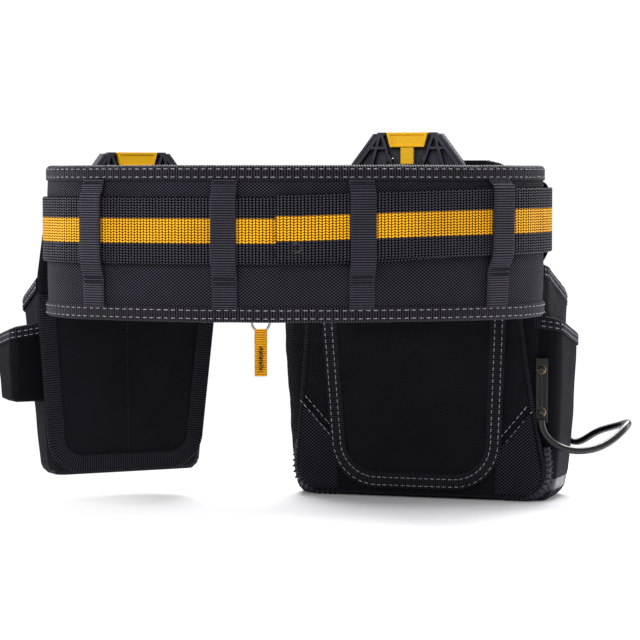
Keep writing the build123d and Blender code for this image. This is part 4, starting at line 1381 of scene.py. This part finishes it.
def build_left_pouch():
    body = "left_pouch"
    back = sheet(left_sides, 27.0, 267.0, left_back, 30.0, 14.0)
    panel = add_local("left_back_cover", LEFT, back, body, SMOOTH_CLOTH, "board", thick=BOARD_T)
    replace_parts(panel, "left_back_board")
    path = outline_path(left_sides, 26.0, 176.0, 31.0, inset=7.6)
    trim = tape_on("left_back_webbing", LEFT, path, 18.6, 15.0, 1.6, body)
    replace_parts(trim, "left_back_trim")
    dark = {"material": BLACK_THREAD}
    for side, off in (("inner", -5.8), ("outer", 5.8)):
        name = f"left_trim_seam_{side}"
        stitches_on(name, LEFT, path, 17.0, body, rows=(off,), pitch=3.6, radius=0.32, **dark)
    seam = [(-6.0, 168.0), (-5.0, 45.0)]
    stitches_on("left_centre_seam", LEFT, seam, 18.0, body, pitch=3.4, **dark)
    shape = (LEFT_LOW_LEVEL, LEFT_HIGH_LEVEL, left_rim, left_bulge)
    build_bag("left_bag", "left_pouch_shell", LEFT, body, shape, (40, 110), POUCH_CLOTH, BAG_T)
    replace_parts(rim_tape("left_bag_binding", LEFT, body, shape), "left_rim_binding")
    build_left_pockets()


LEFT_FRONT_LOW = (-55.0, 53.0, 50.0, 85.0, 8.0, 30.0)
LEFT_FRONT_HIGH = (-59.0, 63.0, 62.0, 102.5, 8.0, 130.0)
LEFT_SIDE_LOW = (-102.5, -62.0, 31.0, 63.0, 5.0, 85.6)
LEFT_SIDE_HIGH = (-104.0, -62.0, 31.0, 71.0, 5.0, 156.0)


def left_front_rim(x, y):
    return 126.0 - 10.0 * (y - 80.0) / 30.0 - 2.5 * (1 - min(1.0, abs(x) / 60.0) ** 2)


def left_side_rim(x, y):
    return 150.0 - 10.0 * (y - 30.0) / 46.0 + 0.14 * (x + 80.0)


def small_bulge(point, out, up):
    belly = max(0.0, 1 - (2 * up - 0.9) ** 2)
    return 1.3 * belly - 0.8 + 0.6 * wobble((point.x, point.y, up * 90), 22.0, 23.0)


def build_left_pockets():
    body = "left_pouch"
    front = (LEFT_FRONT_LOW, LEFT_FRONT_HIGH, left_front_rim, small_bulge)
    build_bag("left_lower_pocket", "left_front_pocket", LEFT, body, front, (24, 90), POUCH_CLOTH, POCKET_T)
    rim_tape("left_lower_pocket_binding", LEFT, body, front, share1=0.68)
    side = (LEFT_SIDE_LOW, LEFT_SIDE_HIGH, left_side_rim, small_bulge)
    build_bag("left_tool_pocket", "left_side_pocket", LEFT, body, side, (22, 70), SIDE_TWILL_PAINTED_SHADE, SIDE_POCKET_T)
    rim_tape("left_tool_pocket_binding", LEFT, body, side, width=8.5, share0=-0.45, share1=0.25, cols=120)


# ---- hubs and buckle: CAD shapes, finished ------------------------------------------------------------
HUBS = (("right", RIGHT, 310.0), ("left", LEFT, 293.0))    # side, frame and height of the top
SPRING_R, SPRING_WIRE, SPRING_PITCH = 1.75, 0.3, 1.5
SPRING_L, SPRING_DROP, SPRING_Y = 7.4, 44.6, 10.3


def build_springs():
    """The coil under each latch's stem, which shortens as its latch is pressed."""
    steps = 70
    for side, place, top in HUBS:
        foot = Vector((0, SPRING_Y, top - SPRING_DROP))
        coil = []
        for k in range(steps + 1):
            rise = SPRING_L * k / steps
            turn = 2 * pi * rise / SPRING_PITCH
            coil.append(foot + Vector((SPRING_R * cos(turn), SPRING_R * sin(turn), rise)))
        name = f"{side}_coil_spring"
        wire = tube(coil, SPRING_WIRE, 8)
        spring = add_local(name, place, wire, f"{side}_hub", SPRING_STEEL, "spring_steel")
        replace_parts(spring, f"{side}_latch_spring")
        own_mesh(spring)


def build_hub_pins():
    """Two small bright pins beside each latch's stem."""
    for side, place, top in HUBS:
        pins = [dome(Vector((x, 12.6, top - 22.2)), -1, 1.2, 0.7) for x in (-13.6, 13.6)]
        add_local(f"{side}_hub_pins", place, join_parts(pins), f"{side}_hub", STEEL, "steel")


def build_hardware():
    build_springs()
    build_hub_pins()
    for side in ("right", "left"):
        finish_cad([f"{side}_hub_plate", f"{side}_hub_bridge"], BLACK_PLASTIC, 0.35)
        finish_cad([f"{side}_clip_plate"], GREY_PLASTIC, 0.5)
        finish_cad([f"{side}_release_latch"], YELLOW_PLASTIC, 0.5, 3)
        finish_cad([f"{side}_hub_screws"], STEEL, 0.1)
        finish_cad([f"{side}_clip_rivets"], BLACK_STEEL, 0.35)
    buckle = ["buckle_socket", "buckle_plug", "buckle_arm_top", "buckle_arm_bottom"]
    finish_cad(buckle, BLACK_PLASTIC, 0.6, 3)


# ---- stage --------------------------------------------------------------------------------------------
def area_light(name, place, target, power, size, colour=(1.0, 1.0, 1.0)):
    """A rectangular lamp, its places in millimetres and its size in metres."""
    data = bpy.data.lights.new(name, "AREA")
    data.energy = power
    data.shape = "RECTANGLE"
    data.size, data.size_y = size
    data.color = colour
    lamp = bpy.data.objects.new(name, data)
    lamp.location = Vector(place) * MM
    lamp.rotation_euler = (Vector(target) - Vector(place)).to_track_quat("-Z", "Y").to_euler()
    bpy.context.scene.collection.objects.link(lamp)


def white_backdrop():
    """Pure white to the camera, and a softer light on the belt."""
    world = bpy.data.worlds.new("studio")
    world.use_nodes = True
    tree = world.node_tree
    background = tree.nodes["Background"]
    background.inputs["Color"].default_value = (1.0, 1.0, 1.0, 1.0)
    rays = tree.nodes.new("ShaderNodeLightPath")
    strength = tree.nodes.new("ShaderNodeMapRange")
    strength.inputs["To Min"].default_value = AMBIENT
    strength.inputs["To Max"].default_value = 1.05
    tree.links.new(rays.outputs["Is Camera Ray"], strength.inputs["Value"])
    tree.links.new(strength.outputs["Result"], background.inputs["Strength"])
    bpy.context.scene.world = world


def pale_floor():
    """A matt floor near the belt; away from it the floor glows white as painted light, which hides any
    shadows there and blends into the backdrop.
    """
    reach = 12.0
    corners = [(-reach, -reach, 0), (reach, -reach, 0), (reach, reach, 0), (-reach, reach, 0)]
    mesh = bpy.data.meshes.new("floor")
    mesh.from_pydata(corners, [], [(0, 1, 2, 3)])
    floor = bpy.data.objects.new("floor", mesh)
    paint = Nodes("pale_floor")
    from_pouch = paint.add("ShaderNodeVectorMath", paint.place(), SHADE_CENTRE, operation="SUBTRACT")
    away = paint.add("ShaderNodeVectorMath", from_pouch, operation="LENGTH", output=1)
    # Painted light: the floor's emission, and its fade to a black base colour, grow with distance from
    # SHADE_CENTRE.
    glow = paint.ramp(away, 0.2, 0.38, 0.0, 1.0)
    paint.set("Base Color", paint.mix(glow, (0.9, 0.9, 0.915, 1.0), (0.0, 0.0, 0.0, 1.0)))
    paint.set("Roughness", 0.8)
    paint.set("Specular IOR Level", 0.1)
    paint.set("Emission Color", (1.0, 1.0, 1.0, 1.0))
    paint.set("Emission Strength", glow)
    mesh.materials.append(paint.material)
    bpy.context.scene.collection.objects.link(floor)


AMBIENT = 0.46
SHADE_CENTRE = (0.17, 0.12, 0.0)    # metres; away from here the floor glows white as painted light, hiding shadows


def build_stage():
    white_backdrop()
    pale_floor()
    area_light("key", (-600, -1450, 1350), (0, 0, 180), 21.0, (1.4, 1.0))
    area_light("overhead", (150, 1000, 1350), (60, 60, 0), 62.0, (1.6, 1.0))
    area_light("left_rim", (-1300, 350, 500), (-100, 0, 150), 11.0, (0.5, 1.2), (0.93, 0.95, 1.0))
    area_light("right_rim", (1300, 350, 500), (100, 0, 150), 8.0, (0.5, 1.2), (0.93, 0.95, 1.0))
    bpy.context.scene.view_settings.view_transform = "Standard"


CAMERA_AT = (17.0, -2063.0, 270.0)
CAMERA_FOCUS_PX = 2574.0
HORIZON_ABOVE_CENTRE_PX = 140.0
IMAGE_PX = 640.0


def build_camera():
    data = bpy.data.cameras.new("camera")
    data.sensor_width = 36.0
    data.lens = data.sensor_width * CAMERA_FOCUS_PX / IMAGE_PX
    data.clip_start, data.clip_end = 0.05, 60.0
    camera = bpy.data.objects.new("camera", data)
    camera.location = Vector(CAMERA_AT) * MM
    pitch = atan2(HORIZON_ABOVE_CENTRE_PX, CAMERA_FOCUS_PX)
    camera.rotation_euler = (pi / 2 - pitch, 0.0, 0.0)
    bpy.context.scene.collection.objects.link(camera)
    bpy.context.scene.camera = camera


build_pad()
build_web()
build_loops()
build_ring_and_tab()
build_hardware()
build_right_pouch()
build_left_pouch()
build_stage()
build_camera()
